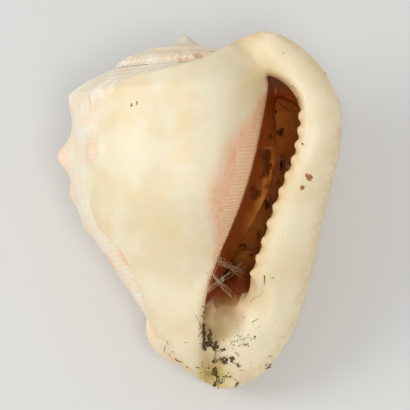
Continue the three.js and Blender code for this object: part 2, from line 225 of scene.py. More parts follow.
# Ribs on the spire, and the waves of the surface: cords and growth lines in mm and degrees, folds in cuts.
RIB_SPACING = 7.0
RIB_HEIGHT = 0.55
RIBS_FROM_Y = 44.0
CORD_SPACING = 2.25
GROWTH_SPACING = 2.4
FOLD_SPACING = 0.1
CORD_HEIGHT = 0.25
FOLD_HEIGHT = 0.3
LUMP_HEIGHT = 0.3
FINE_HEIGHT = 0.12
DULL = 0.52
GLAZED = 0.33

# Pinkish orange blotches between the knobs: share of the whorl's length, half its height, strength.
BLOTCH_ROWS = [
    (0.035, 0.045, 0.5), (0.25, 0.07, 0.6), (0.4, 0.045, 0.5), (0.52, 0.035, 0.6), (0.655, 0.035, 1.5),
    (0.78, 0.03, 0.8),
]
BLOTCH_WIDTH = 9.5

# Beside the mouth's left edge: height, and how far the rose colour and the fine folds reach from the edge.
ROSE_WIDTHS = [
    (-40, 0), (-28, 1.5), (-16, 4), (-7, 10.5), (5, 18.5), (20, 19.5), (36, 17), (47, 7.5), (56, 2.5),
    (60, 0),
]
FOLD_WIDTHS = [
    (-52, 0), (-48, 1.2), (-20, 2), (-8, 5), (5, 7.5), (20, 8), (36, 7.5), (48, 5), (58, 2), (60, 0),
]

# Dark stains inside the mouth and brown smears on the lip, by pixels of the photograph: x, y, half sizes.
STAINS = [
    (283.5, 131, 2.4, 2.6), (271, 137, 1.6, 1.6), (266, 156, 3.0, 4.5), (268, 170, 3.0, 4.0),
    (284, 163, 1.6, 4.5), (255, 192, 3.0, 4.5), (268, 205, 2.0, 2.6), (243, 246, 2.2, 1.6),
    (252, 255, 1.8, 1.2),
]
SMEARS = [(308.5, 178, 1.7), (305.5, 175.5, 1.0), (301, 187.5, 1.3)]

# Dirt, by pixels of the photograph: x, y, spread across, spread down, how many crumbs, their size in mm.
CRUMBS = [
    (203.6, 334, 0.9, 9, 34, 0.95), (203.8, 345, 1.0, 6, 34, 1.1), (210.5, 337, 1.5, 5.5, 26, 1.05),
    (208, 344, 3.5, 2.2, 30, 1.05), (215.5, 345, 1.7, 4.2, 24, 0.95), (204, 312, 1.5, 9, 14, 0.5),
    (222, 350, 2.6, 1.2, 10, 0.7), (215, 361.5, 2.2, 1.6, 12, 0.8), (224, 361.5, 3.2, 2.4, 26, 1.0),
    (232, 358.5, 2.4, 1.6, 14, 0.9), (238, 365.5, 1.6, 1.2, 6, 0.7), (215, 372, 2.6, 4.5, 36, 0.8),
    (208, 374, 6, 9, 70, 0.36), (216, 384, 2.2, 4.5, 22, 0.75), (221, 381, 6, 5, 40, 0.5),
    (228, 376, 5, 2, 14, 0.5), (237, 384, 1.8, 4, 16, 0.5), (234, 345, 7, 5, 34, 0.36),
    (240, 338, 9, 6, 30, 0.3), (269.5, 366.5, 2, 1.6, 10, 0.8), (270, 356, 1.2, 0.5, 3, 0.5),
    (281.5, 353, 0.6, 1.6, 3, 0.5), (255, 336.5, 0.5, 0.5, 2, 0.6), (247, 345, 2.2, 1.6, 7, 0.5),
    (240, 343, 5, 2.4, 12, 0.4), (244, 331, 8, 12, 26, 0.25), (262, 332, 10, 14, 14, 0.25),
    (308, 176.5, 2.8, 1.8, 4, 0.3), (302, 186, 2.2, 2.2, 3, 0.3), (302.3, 144, 0.4, 0.4, 1, 0.8),
    (295, 98.5, 2.2, 0.8, 5, 0.5), (293, 87, 1, 1.2, 3, 0.4), (325, 72.5, 0.6, 1.4, 3, 0.4),
    (132, 105, 1.6, 1.2, 6, 0.45), (137, 103, 0.5, 1.4, 3, 0.4), (206.3, 273.5, 0.3, 0.3, 1, 0.8),
    (187.3, 366.8, 0.3, 0.3, 1, 0.7), (197, 367.5, 0.9, 0.4, 3, 0.5), (264.5, 280, 0.5, 3.6, 7, 0.4),
    (273, 277, 1.4, 2, 4, 0.35), (283, 53, 0.3, 0.3, 1, 0.5), (200, 343.5, 1.6, 0.3, 4, 0.3),
    (270, 200, 12, 60, 10, 0.3), (232, 366, 22, 18, 60, 0.2), (290, 300, 12, 40, 12, 0.2),
]

# Fibres and twigs lying on the shell: x and y of both ends in pixels, half thickness in mm, and how bent.
FIBRES = [
    (230, 361, 238.5, 366.5, 0.22, 0.3), (252, 322.5, 258, 319, 0.16, 0.2),
    (264.5, 275.5, 264.2, 285, 0.22, 0.2), (175, 358.3, 182, 362.3, 0.28, 0.3),
    (166.5, 341, 168.5, 345, 0.12, 0.5), (165, 345, 163.8, 352.5, 0.12, 0.3),
    (169, 353.5, 170.5, 356, 0.12, 0.5), (171, 352, 174, 351.5, 0.1, 0.4),
    (184.5, 342.5, 187, 342.3, 0.14, 0.4), (195.5, 315, 198.5, 327, 0.1, 0.6),
    (202, 306, 207, 309.5, 0.22, 0.2), (198, 337, 202, 332, 0.16, 0.3),
    (215.8, 347, 216.5, 361, 0.13, 0.5), (216.5, 360, 228, 355, 0.12, 0.5),
    (214.8, 389.5, 216.8, 377, 0.24, 0.2), (235, 352, 239, 356.5, 0.2, 0.4),
    (243, 341, 250, 337, 0.12, 0.5), (250, 341, 255, 336.5, 0.1, 0.3), (234, 389, 238.5, 381, 0.14, 0.3),
    (236, 387, 236.5, 381.5, 0.12, 0.3), (203, 368, 201, 361, 0.1, 0.5), (207, 371, 205, 380, 0.1, 0.5),
    (218, 380, 223, 384, 0.16, 0.3), (224, 376, 230, 378, 0.14, 0.4), (213, 350, 221, 351.5, 0.12, 0.4),
    (206, 347, 210, 333, 0.2, 0.3), (214, 348, 218, 339.5, 0.2, 0.2), (239, 370, 245, 370.5, 0.1, 0.3),
    (300, 190, 306, 185, 0.1, 0.5), (250, 303, 262, 285, 0.06, 0.6), (292, 86, 296, 89, 0.12, 0.3),
    (293, 97, 299, 99, 0.12, 0.3), (136.3, 104.5, 137.6, 101.5, 0.16, 0.2),
    (220, 388, 224, 390.5, 0.14, 0.4), (198, 330, 205, 326, 0.1, 0.5), (199.5, 322.5, 203, 330, 0.1, 0.5),
]

# Silk threads over the mouth: the ends in pixels, how far they sag, and how many strands.
THREADS = [
    (262, 150, 276, 143, 1.0, 6), (266, 160, 290, 154, 1.5, 6), (276, 150, 278, 178, 1.0, 4),
    (277, 178, 268, 214, 1.0, 6), (285, 155, 293, 172, 0.6, 6), (262, 184, 288, 168, 1.5, 4),
    (284, 160, 291, 160, 0.5, 4), (205, 291, 243, 262, 1.5, 6), (222, 240, 215, 275, 1.0, 6),
    (208, 292, 226, 236, 1.0, 4), (212, 302, 246, 276, 1.5, 6), (228, 282, 236, 300, 1.0, 6),
    (218, 262, 244, 274, 1.0, 6), (206, 268, 232, 296, 1.2, 4), (236, 290, 247, 268, 0.8, 6),
    (213, 254, 222, 262, 0.5, 4),
]
THREAD_RADIUS = 0.09
GREEN_FLECK = (221, 278)
DIRT_SEED = 7
THREAD_SEED = 11

# A lump of dirt has the twenty faces of a regular solid.
GOLDEN = (1 + math.sqrt(5)) / 2
LUMP_POINTS = [
    (-1, GOLDEN, 0), (1, GOLDEN, 0), (-1, -GOLDEN, 0), (1, -GOLDEN, 0), (0, -1, GOLDEN), (0, 1, GOLDEN),
    (0, -1, -GOLDEN), (0, 1, -GOLDEN), (GOLDEN, 0, -1), (GOLDEN, 0, 1), (-GOLDEN, 0, -1), (-GOLDEN, 0, 1),
]
LUMP_POINTS = [tuple(c / math.hypot(1, GOLDEN) for c in point) for point in LUMP_POINTS]
LUMP_FACES = [
    (0, 11, 5), (0, 5, 1), (0, 1, 7), (0, 7, 10), (0, 10, 11), (1, 5, 9), (5, 11, 4), (11, 10, 2),
    (10, 7, 6), (7, 1, 8), (3, 9, 4), (3, 4, 2), (3, 2, 6), (3, 6, 8), (3, 8, 9), (4, 9, 5), (2, 4, 11),
    (6, 2, 10), (8, 6, 7), (9, 8, 1),
]

# Lamps round the shell, seen as the camera sees it: name, metres to the right, up and nearer, size, power.
LAMPS = [
    ("window", (-1.25, 0.3, 1.0), 0.9, 7.4),
    ("front", (0.15, -0.1, 1.7), 0.5, 7.0),
]
SKY_COLOUR = (0.95, 0.98, 1, 1)
SKY_STRENGTH = 0.62


def clamp01(value):
    return np.clip(value, 0.0, 1.0)


def mix(a, b, share):
    return a + (b - a) * share


def ease(low, high, value):
    t = clamp01((value - low) / (high - low))
    return t * t * (3 - 2 * t)


def within(span, value):
    """From 0 at the span's outer values to 1 at its inner ones. A span of two values has one side only."""
    share = ease(*span[:2], value)
    return share if len(span) == 2 else share * ease(*span[:1:-1], value)


def bell(x, middle, width):
    return np.exp(-(((x - middle) / width) ** 2))


def through(points, x):
    """The smooth curve through a list of (x, value) points, read at x."""
    xs, ys = np.array(points, float).T
    x = np.asarray(x, float)
    last = len(xs) - 1
    i = np.searchsorted(xs[1:last], x, side="left")
    before = np.maximum(i - 1, 0)
    after = np.minimum(i + 2, last)
    slope0 = (ys[i + 1] - ys[before]) / (xs[i + 1] - xs[before])
    slope1 = (ys[after] - ys[i]) / (xs[after] - xs[i])
    gap = xs[i + 1] - xs[i]
    t = clamp01((x - xs[i]) / gap)
    t2 = t * t
    t3 = t2 * t
    return (
        (2 * t3 - 3 * t2 + 1) * ys[i] + (t3 - 2 * t2 + t) * gap * slope0
        + (3 * t2 - 2 * t3) * ys[i + 1] + (t3 - t2) * gap * slope1
    )


def mouth_cut(place):
    """The smooth rows between the mouth's cuts: one row of ten values for each place."""
    place = np.asarray(place, float)
    i = np.floor(place).astype(int)
    t = (place - i)[..., None]
    a, b, c, d = (MOUTH_CUTS[(i + k) % PLACES] for k in (-1, 0, 1, 2))
    m0 = (c - a) / 2
    m1 = (d - b) / 2
    drop = c - b
    return b + t * (m0 + t * (3 * drop - 2 * m0 - m1 + t * (m0 + m1 - 2 * drop)))


def shoulder_radius(angle):
    quarters = (angle - PARIETAL_ANGLE) / 90
    late = np.maximum(quarters, 0)
    return PARIETAL_RADIUS * np.exp(GROWTH_PER_QUARTER * quarters - GROWTH_SLOWING * late * late)


def shoulder_y(angle):
    radius = shoulder_radius(angle)
    dip = SPIRE_DIP * ease(DIP_FROM, DIP_TO, radius)
    return APEX_Y - SPIRE_SLOPE * radius - SPIRE_CURVE * radius * radius - dip


def front_y(angle):
    length = LEFT_LENGTH * (shoulder_radius(angle) / LEFT_RADIUS) ** LENGTH_GROWTH
    return np.maximum(APEX_Y - length, LAST_FRONT_Y)


def suture_radius(angle):
    return shoulder_radius(angle - 360) * SUTURE_SHARE


def suture_y(angle):
    return shoulder_y(angle - 360) - SUTURE_DROP * shoulder_radius(angle - 360)


def knobs(angle, share):
    """How high the knobs stand at an angle and a share of the way down the whorl's side."""
    radius = shoulder_radius(angle)
    length = shoulder_y(angle) - front_y(angle)
    step = (angle - KNOB_START) / KNOB_SPACING
    off = np.radians((step - np.round(step)) * KNOB_SPACING)
    bare = 1 - ease(BELLY_SPAN + KNOB_FADE, BELLY_SPAN - KNOB_FADE, np.abs(angle - BELLY_ANGLE))
    bare = bare * ease(LAST_KNOB_END, LAST_KNOB_END - KNOB_FADE, angle)
    on_left = bell(angle, LEFT_ANGLE, LEFT_SPAN)
    height = 0.0
    for at, back, left, width in KNOB_ROWS:
        across = off / width
        along = (share - at) * length / (width * radius)
        height = height + mix(back, left, on_left) * radius * np.exp(-across * across - along * along)
    return height * bare


def whorl_radius(angle, y):
    """Radius of a whorl's smooth outside: its side, or its ramp above the shoulder."""
    top = shoulder_y(angle)
    radius = shoulder_radius(angle)
    ramp = mix(radius, suture_radius(angle), clamp01((y - top) / (suture_y(angle) - top)))
    side = radius * through(WHORL_SIDE, clamp01((top - y) / (top - front_y(angle))))
    return np.where(y > top, ramp, side)


def polar(angle, radius, y):
    turned = np.radians(angle)
    return np.stack(np.broadcast_arrays(radius * np.cos(turned), y, radius * np.sin(turned)), -1)


def shield_radius(angle, y):
    """Radius of the whorl under the shield, which goes on past the shoulder in a gentle slope."""
    top = shoulder_y(angle)
    return whorl_radius(angle, np.minimum(y, top)) - SHIELD_SLOPE * np.maximum(y - top, 0)


def belly_z(x, y):
    """Height of the belly over the points x, y."""
    low = np.zeros_like(x)
    high = np.full_like(x, 180.0)
    for _ in range(26):
        middle = (low + high) / 2
        right = shield_radius(middle - 360, y) * np.cos(np.radians(middle)) > x
        low = np.where(right, middle, low)
        high = np.where(right, high, middle)
    return shield_radius(low - 360, y) * np.sin(np.radians(low))


def rim_points(place, share):
    """Points on the front of the lip or the shield, at places round the mouth and shares of the way out."""
    cut = mouth_cut(place)
    ix, iy, iz, ox, oy, oz, arch, shield, _, lift = np.moveaxis(cut, -1, 0)
    x = mix(ix, ox, share)
    y = mix(iy, oy, share)
    bow = (4 * share * (1 - share)) ** 0.4
    arched = mix(iz, oz, share) + arch * bow
    on_belly = belly_z(x, y) + mix(SHIELD_LIFT, lift, ease(0.6, 1, share))
    rounding = np.sqrt(1 - (1 - clamp01(share / COLUMELLA_WIDTH)) ** 2)
    z = mix(arched, mix(iz, on_belly, rounding), clamp01(shield))
    return np.stack([x, y, z], -1)


def grid(first, second):
    """Every pair of the two lists, as two arrays."""
    return np.meshgrid(np.asarray(first, float), np.asarray(second, float), indexing="ij")


def rim_sections(places, steps):
    """Closed cuts through the lip or the shield: over its front from the mouth out, and back behind."""
    turn = np.linspace(0, math.pi, steps + 1)
    place, turned = grid(places, turn)
    share = (1 - np.cos(turned)) / 2
    front = rim_points(place, share)
    cut = mouth_cut(place)
    fullness = mix(mix(1, 0.5, share), mix(0.4, 1, share), clamp01(cut[..., 7]))
    deep = cut[..., 8] * np.sin(turned).clip(0) ** 0.6 * fullness
    back = front.copy()
    back[..., 2] -= deep
    return np.concatenate([front, back[:, -2:0:-1]], 1)


def coil_sections(angles, ramp_steps, shares):
    """Closed cuts through a whorl: the ramp from the suture to the shoulder, the side, and the axis."""
    angle, t = grid(angles, np.linspace(0, 1, ramp_steps, endpoint=False))
    radius = shoulder_radius(angle)
    bump = 0.7 * knobs(angle, 0.0) * np.exp(-(((1 - t) / 0.45) ** 2))
    swell = 0.04 * radius * np.sin(math.pi * t)
    ramp = polar(
        angle,
        mix(suture_radius(angle), radius, t),
        mix(suture_y(angle), shoulder_y(angle), t) + swell + bump,
    )
    angle, share = grid(angles, shares)
    side = polar(
        angle,
        shoulder_radius(angle) * through(WHORL_SIDE, share) + knobs(angle, share),
        mix(shoulder_y(angle), front_y(angle), share),
    )
    angle = np.asarray(angles, float)[:, None]
    radius = shoulder_radius(angle)
    axis_front = polar(angle, AXIS_GAP * radius, front_y(angle))
    axis_top = polar(angle, AXIS_GAP * radius, suture_y(angle) - 0.25 * radius)
    return np.concatenate([ramp, side, axis_front, axis_top], 1)


def web_sections(places):
    """Closed cuts through the web that carries the lip: from the lip back to the whorl's wall."""
    cut = mouth_cut(places)
    y = through(WEB_ROOT_Y, places)
    radius = whorl_radius(WEB_ANGLE, y)
    rise = np.array((0.0, 0.0, 2.0))
    inner = cut[:, 0:3]
    outer = cut[:, 3:6]
    root = polar(WEB_ANGLE, radius - 1, y)
    deep_root = polar(WEB_ANGLE, radius * 0.8, y)
    edge = mix(outer, inner, 0.06) + rise
    under_lip = mix(inner, outer, 0.2) + rise
    dip = mix(mix(edge, root, 0.5), under_lip, 0.3)
    t = np.linspace(0, 1, 17)[:, None, None]
    curve = (1 - t) ** 2 * root + 2 * t * (1 - t) * mix(dip, under_lip, 0.2) + t * t * edge
    return np.concatenate([np.stack([under_lip, deep_root], 1), np.moveaxis(curve, 0, 1)], 1)


def hollow_sections(angles, steps):
    """Closed cuts through the hollow between a whorl's wall and the whorl inside it."""
    angle, t = grid(angles, np.linspace(0, 1, steps + 1))
    highest = mix(HOLLOW_TOP, MOUTH_TOP, ease(-MOUTH_SPAN, 0, angle))
    y = mix(shoulder_y(angle), front_y(angle), mix(highest, HOLLOW_FRONT, t))
    inner = whorl_radius(angle - 360, y) + 0.4
    outside = polar(angle, np.maximum(whorl_radius(angle, y) - WALL, inner + 1), y)
    inside = polar(angle, inner, y)
    return np.concatenate([outside, inside[:, ::-1]], 1)


def mouth_section(height, steps):
    """The mouth's own edge in as many points as a cut through the hollow, moved out by a height."""
    t = np.linspace(0, 1, steps + 1)
    up = np.array((0.0, 0.0, height))
    lip = mouth_cut(t * 12.2)[:, 0:3] + up
    columella = mouth_cut(PLACES - 0.2 - t * 11.5)[:, 0:3] + up
    return np.concatenate([lip, columella[::-1]])[None]


def smooth_line(points, count):
    """Points spread over the smooth line through the given ones, with every other value they carry."""
    points = np.array(points, float)
    padded = np.concatenate([[2 * points[0] - points[1]], points, [2 * points[-1] - points[-2]]])
    at = np.linspace(0, len(points) - 1, count)
    i = np.minimum(at.astype(int), len(points) - 2)
    t = (at - i)[:, None]
    a, b, c, d = (padded[i + k] for k in range(4))
    return 0.5 * (2 * b + (c - a) * t + (2 * a - 5 * b + 4 * c - d) * t**2 + (3 * b - a - 3 * c + d) * t**3)


def sweep_sections(line, sides):
    """Closed round cuts along a line of (x, y, z, radius) points."""
    ahead = np.gradient(line[:, :3], axis=0)
    ahead /= np.linalg.norm(ahead, axis=1, keepdims=True)
    up = np.array((0.0, 0.0, 1.0)) - ahead * ahead[:, 2:3]
    up /= np.maximum(np.linalg.norm(up, axis=1, keepdims=True), 1e-6)
    across = np.cross(ahead, up)
    turn = np.linspace(0, 2 * math.pi, sides, endpoint=False)[None, :, None]
    round_cut = np.cos(turn) * up[:, None] + np.sin(turn) * across[:, None]
    return line[:, None, :3] + line[:, None, 3:4] * round_cut


def lift_to_ground():
    """The turn from the shell's own frame to the ground frame, as a matrix for rows of points."""
    turn = Vector(DOWN).normalized().rotation_difference(Vector((0, 0, -1)))
    return np.array(turn.to_matrix())


TO_GROUND = lift_to_ground()


def to_ground(points):
    return (points @ TO_GROUND.T + np.array(ORIGIN)) * MM


def from_ground(points):
    return (points / MM - np.array(ORIGIN)) @ TO_GROUND


def mesh_object(name, points, faces):
    mesh = bpy.data.meshes.new(name)
    mesh.from_pydata(to_ground(np.asarray(points, float)).tolist(), [], [list(f) for f in faces])
    mesh.update()
    piece = bpy.data.objects.new(name, mesh)
    bpy.context.scene.collection.objects.link(piece)
    return piece


def strip_faces(rows, columns, ring=False):
    """The four sided faces between closed cuts, with end caps unless the cuts go round in a ring."""
    number = np.arange(rows * columns).reshape(rows, columns)
    if ring:
        number = np.concatenate([number, number[:1]])
    after = np.roll(number, -1, axis=1)
    quads = np.stack([number[:-1], after[:-1], after[1:], number[1:]], -1).reshape(-1, 4).tolist()
    if not ring:
        quads += [number[0, ::-1].tolist(), number[-1].tolist()]
    return quads


def lofted(name, sections, ring=False):
    """A closed piece through a row of cuts."""
    rows, columns = sections.shape[:2]
    return mesh_object(name, sections.reshape(-1, 3), strip_faces(rows, columns, ring=ring))


def tube(name, line, steps=24, sides=32):
    """A closed piece with round cuts along the smooth line through some (x, y, z, radius) points."""
    return lofted(name, sweep_sections(smooth_line(line, steps), sides))


def only(piece):
    """Selects one piece and nothing else."""
    bpy.ops.object.select_all(action="DESELECT")
    piece.select_set(True)
    bpy.context.view_layer.objects.active = piece


def joined(pieces):
    """Makes one piece of several, under the first one's name."""
    only(pieces[0])
    for piece in pieces[1:]:
        piece.select_set(True)
    bpy.ops.object.join()
    return bpy.context.view_layer.objects.active


def facing_out(piece):
    """Turns the piece's faces outwards."""
    only(piece)
    bpy.ops.object.mode_set(mode="EDIT")
    bpy.ops.mesh.select_all(action="SELECT")
    bpy.ops.mesh.normals_make_consistent(inside=False)
    bpy.ops.object.mode_set(mode="OBJECT")


def finished_with(piece, kind, **settings):
    """Adds a modifier with these settings and applies it."""
    only(piece)
    modifier = piece.modifiers.new(kind.title(), kind)
    for name, value in settings.items():
        setattr(modifier, name, value)
    bpy.ops.object.modifier_apply(modifier=modifier.name)


def cut_away(piece, cutter):
    """Cuts the cutter's form out of the piece and takes the cutter away."""
    facing_out(cutter)
    finished_with(piece, "BOOLEAN", operation="DIFFERENCE", solver="MANIFOLD", object=cutter)
    bpy.data.objects.remove(cutter, do_unlink=True)


def toothed(name, row):
    """Small rounded teeth in a row along the rim, each lying across it."""
    first, last, count, share, length, width, height = row
    u, v = np.linspace(0, 2 * math.pi, 20, endpoint=False), np.linspace(0.02, math.pi - 0.02, 12)
    turn, tilt = grid(v, u)
    across, up = np.sin(turn) * np.cos(tilt), np.sin(turn) * np.sin(tilt)
    ball = np.stack([np.cos(turn) * length, across * width, up * height], -1)
    teeth = []
    for place in np.linspace(first, last, count):
        at = rim_points(np.array(place), np.array(share))
        along = Vector(rim_points(np.array(place), np.array(share + 0.15)) - at).normalized()
        turned = np.array(Vector((1, 0, 0)).rotation_difference(along).to_matrix())
        teeth.append(lofted(name, ball @ turned.T + at - (0, 0, TOOTH_SINK)))
    return teeth


def whorl_at(points):
    """The whorl that shows at each point: its angle, and how far down its side as a share of its length."""
    turned = np.degrees(np.arctan2(points[:, 2], points[:, 0]))
    angle = turned - 360 * np.ceil((turned - COIL_END) / 360)
    y = points[:, 1]
    for _ in range(3):
        angle = np.where(y > suture_y(angle), angle - 360, angle)
    share = (shoulder_y(angle) - y) / (shoulder_y(angle) - front_y(angle))
    return angle, share


class RimMap:
    """Tells, for a point, how far it is from the front of the lip or the shield, and where on it."""

    def __init__(self, places=900, shares=130):
        out = np.linspace(0.01, 1, shares) ** 1.6
        place, share = grid(np.linspace(0, PLACES, places, endpoint=False), out)
        self.place = place.ravel()
        self.share = share.ravel()
        points = rim_points(place, share).reshape(-1, 3)
        self.tree = kdtree.KDTree(len(points))
        for number, point in enumerate(points.tolist()):
            self.tree.insert(point, number)
        self.tree.balance()

    def read(self, points):
        found = [self.tree.find(point) for point in points.tolist()]
        number = np.array([one[1] for one in found])
        return np.array([one[2] for one in found]), self.place[number], self.share[number]


def whorls():
    """The coil, its tip, the core round the axis, and the web behind the lip."""
    coil = lofted("helmet_shell", coil_sections(
        np.arange(TIP_END, COIL_END + 0.1, KNOB_SPACING / 24), 14, np.linspace(0, 1, 90)
    ))
    tip = lofted("tip", coil_sections(np.arange(TIP_START, TIP_END + 4, 4), 8, np.linspace(0, 1, 20)))
    turned = np.linspace(0, 2 * math.pi, 48, endpoint=False)
    radius, turn = grid([max(r, 0.05) for r, _ in CORE], turned)
    height, _ = grid([y for _, y in CORE], turned)
    core = lofted("core", np.stack([radius * np.cos(turn), height, radius * np.sin(turn)], -1))
    return [coil, tip, core, lofted("web", web_sections(np.linspace(0, 11, 90)))]


def read(items, name, width, kind=np.float32):
    """The numbers that a mesh's items keep under a name, in rows of so many."""
    numbers = np.empty(len(items) * width, kind)
    items.foreach_get(name, numbers)
    return numbers.reshape(-1, width)


def points_of(piece):
    return read(piece.data.vertices, "co", 3).astype(float)


def normals_of(piece):
    return read(piece.data.vertex_normals, "vector", 3).astype(float)


def edges_of(piece):
    return read(piece.data.edges, "vertices", 2, np.int32)


def set_points(piece, points):
    piece.data.vertices.foreach_set("co", points.astype(np.float32).ravel())
    piece.data.update()


def give(piece, name, values):
    """Keeps one number for each point of the piece, for its material to read."""
    kept = piece.data.attributes.new(name, "FLOAT", "POINT")
    kept.data.foreach_set("value", np.asarray(values, np.float32))


def spread(values, edges, rounds):
    """The values, each averaged with its neighbours' a number of times."""
    count = np.bincount(edges.ravel(), minlength=len(values)).clip(1)
    for _ in range(rounds):
        total = np.bincount(edges[:, 0], values[edges[:, 1]], len(values))
        total += np.bincount(edges[:, 1], values[edges[:, 0]], len(values))
        values = (values + total / count) / 2
    return values


def biggest_part(piece):
    """Takes away any loose bits that remeshing left, such as the skin of a sealed gap."""
    edges = edges_of(piece)
    group = np.arange(len(piece.data.vertices))
    while True:
        low = np.minimum(group[edges[:, 0]], group[edges[:, 1]])
        after = group.copy()
        np.minimum.at(after, edges[:, 0], low)
        np.minimum.at(after, edges[:, 1], low)
        after = after[after]
        if np.array_equal(after, group):
            break
        group = after
    keep = np.bincount(group).argmax()
    loose = group != keep
    if not loose.any():
        return
    only(piece)
    bpy.ops.object.mode_set(mode="EDIT")
    bpy.ops.mesh.select_all(action="DESELECT")
    bpy.ops.object.mode_set(mode="OBJECT")
    piece.data.vertices.foreach_set("select", loose)
    bpy.ops.object.mode_set(mode="EDIT")
    bpy.ops.mesh.delete(type="VERT")
    bpy.ops.object.mode_set(mode="OBJECT")


def into_mouth(points):
    """How far each point is inside the mouth's edge as the mouth is seen, how far below it, and where."""
    edge = mouth_cut(np.linspace(0, PLACES, PLACES * 16, endpoint=False))[:, :3]
    x, y, z = points.T
    near = np.flatnonzero(((points > MOUTH_LOW) & (points < MOUTH_HIGH)).all(1))
    gap = np.full(len(points), -99.0)
    below = np.full(len(points), -99.0)
    nearest = np.zeros(len(points))
    away = np.hypot(x[near, None] - edge[None, :, 0], y[near, None] - edge[None, :, 1])
    closest = away.argmin(1)
    after = np.roll(edge, -1, axis=0)
    spans = (edge[None, :, 1] > y[near, None]) != (after[None, :, 1] > y[near, None])
    rise = np.where(after[:, 1] == edge[:, 1], 1e-9, after[:, 1] - edge[:, 1])
    cross_x = edge[:, 0] + (y[near, None] - edge[:, 1]) / rise * (after[:, 0] - edge[:, 0])
    is_inside = (spans & (x[near, None] < cross_x)).sum(1) % 2 == 1
    gap[near] = np.where(is_inside, away.min(1), -away.min(1))
    below[near] = edge[closest, 2] - z[near]
    nearest[near] = closest / 16
    return gap, below, nearest


def ribs_at(points, angle, along, shield):
    """Uneven white ribs that run up the ramps of the spire."""
    x, y, _ = points.T
    sway = 3.0 * np.sin(y / 5.0 + angle / 31.0) + 2.2 * np.sin(y / 2.3 + angle / 13.0)
    wave = np.sin((angle + sway) * 2 * math.pi / RIB_SPACING)
    broken = clamp01(0.55 + 0.45 * np.sin(angle / 7.3 + y / 3.1) + 0.3 * np.sin(x / 2.1 - y / 2.7))
    on_ramp = ease(0.17, 0.0, along) * ease(82.0, 78.0, y) * (1 - shield)
    return clamp01(0.5 + 0.5 * wave) ** 1.5 * on_ramp * broken


def relaxed(shell):
    """Smooths forms into each other where they meet, and raises the ribs of the spire."""
    points = from_ground(points_of(shell))
    edges = edges_of(shell)
    x, y, z = points.T
    outward = from_ground(points_of(shell) + normals_of(shell) * MM) - points
    soft = points.copy()
    axes = {"x": x, "y": y, "z": z, "radius": np.hypot(x, z)}
    for rounds, only_fills, spans in SMOOTHED:
        mask = math.prod(within(span, axes[axis]) for axis, span in spans.items())
        near = np.flatnonzero(mask > 0)
        number = np.full(len(points), -1)
        number[near] = np.arange(len(near))
        ties = number[edges]
        ties = ties[(ties >= 0).all(1)]
        part, share, out = soft[near], mask[near, None], outward[near]
        for _ in range(rounds):
            move = np.stack([spread(axis, ties, 1) for axis in part.T], -1) - part
            if only_fills:
                move = out * np.maximum((move * out).sum(1, keepdims=True), 0)
            part = part + move * share
        soft[near] = part
    high = np.flatnonzero(y > RIBS_FROM_Y)
    angle, along = whorl_at(soft[high])
    off_rim, _, _ = RimMap(400, 60).read(soft[high])
    ribs = np.zeros(len(soft))
    ribs[high] = ribs_at(soft[high], angle, along, 1 - ease(0.8, 2.2, off_rim))
    set_points(shell, to_ground(soft) + normals_of(shell) * (ribs * RIB_HEIGHT * MM)[:, None])


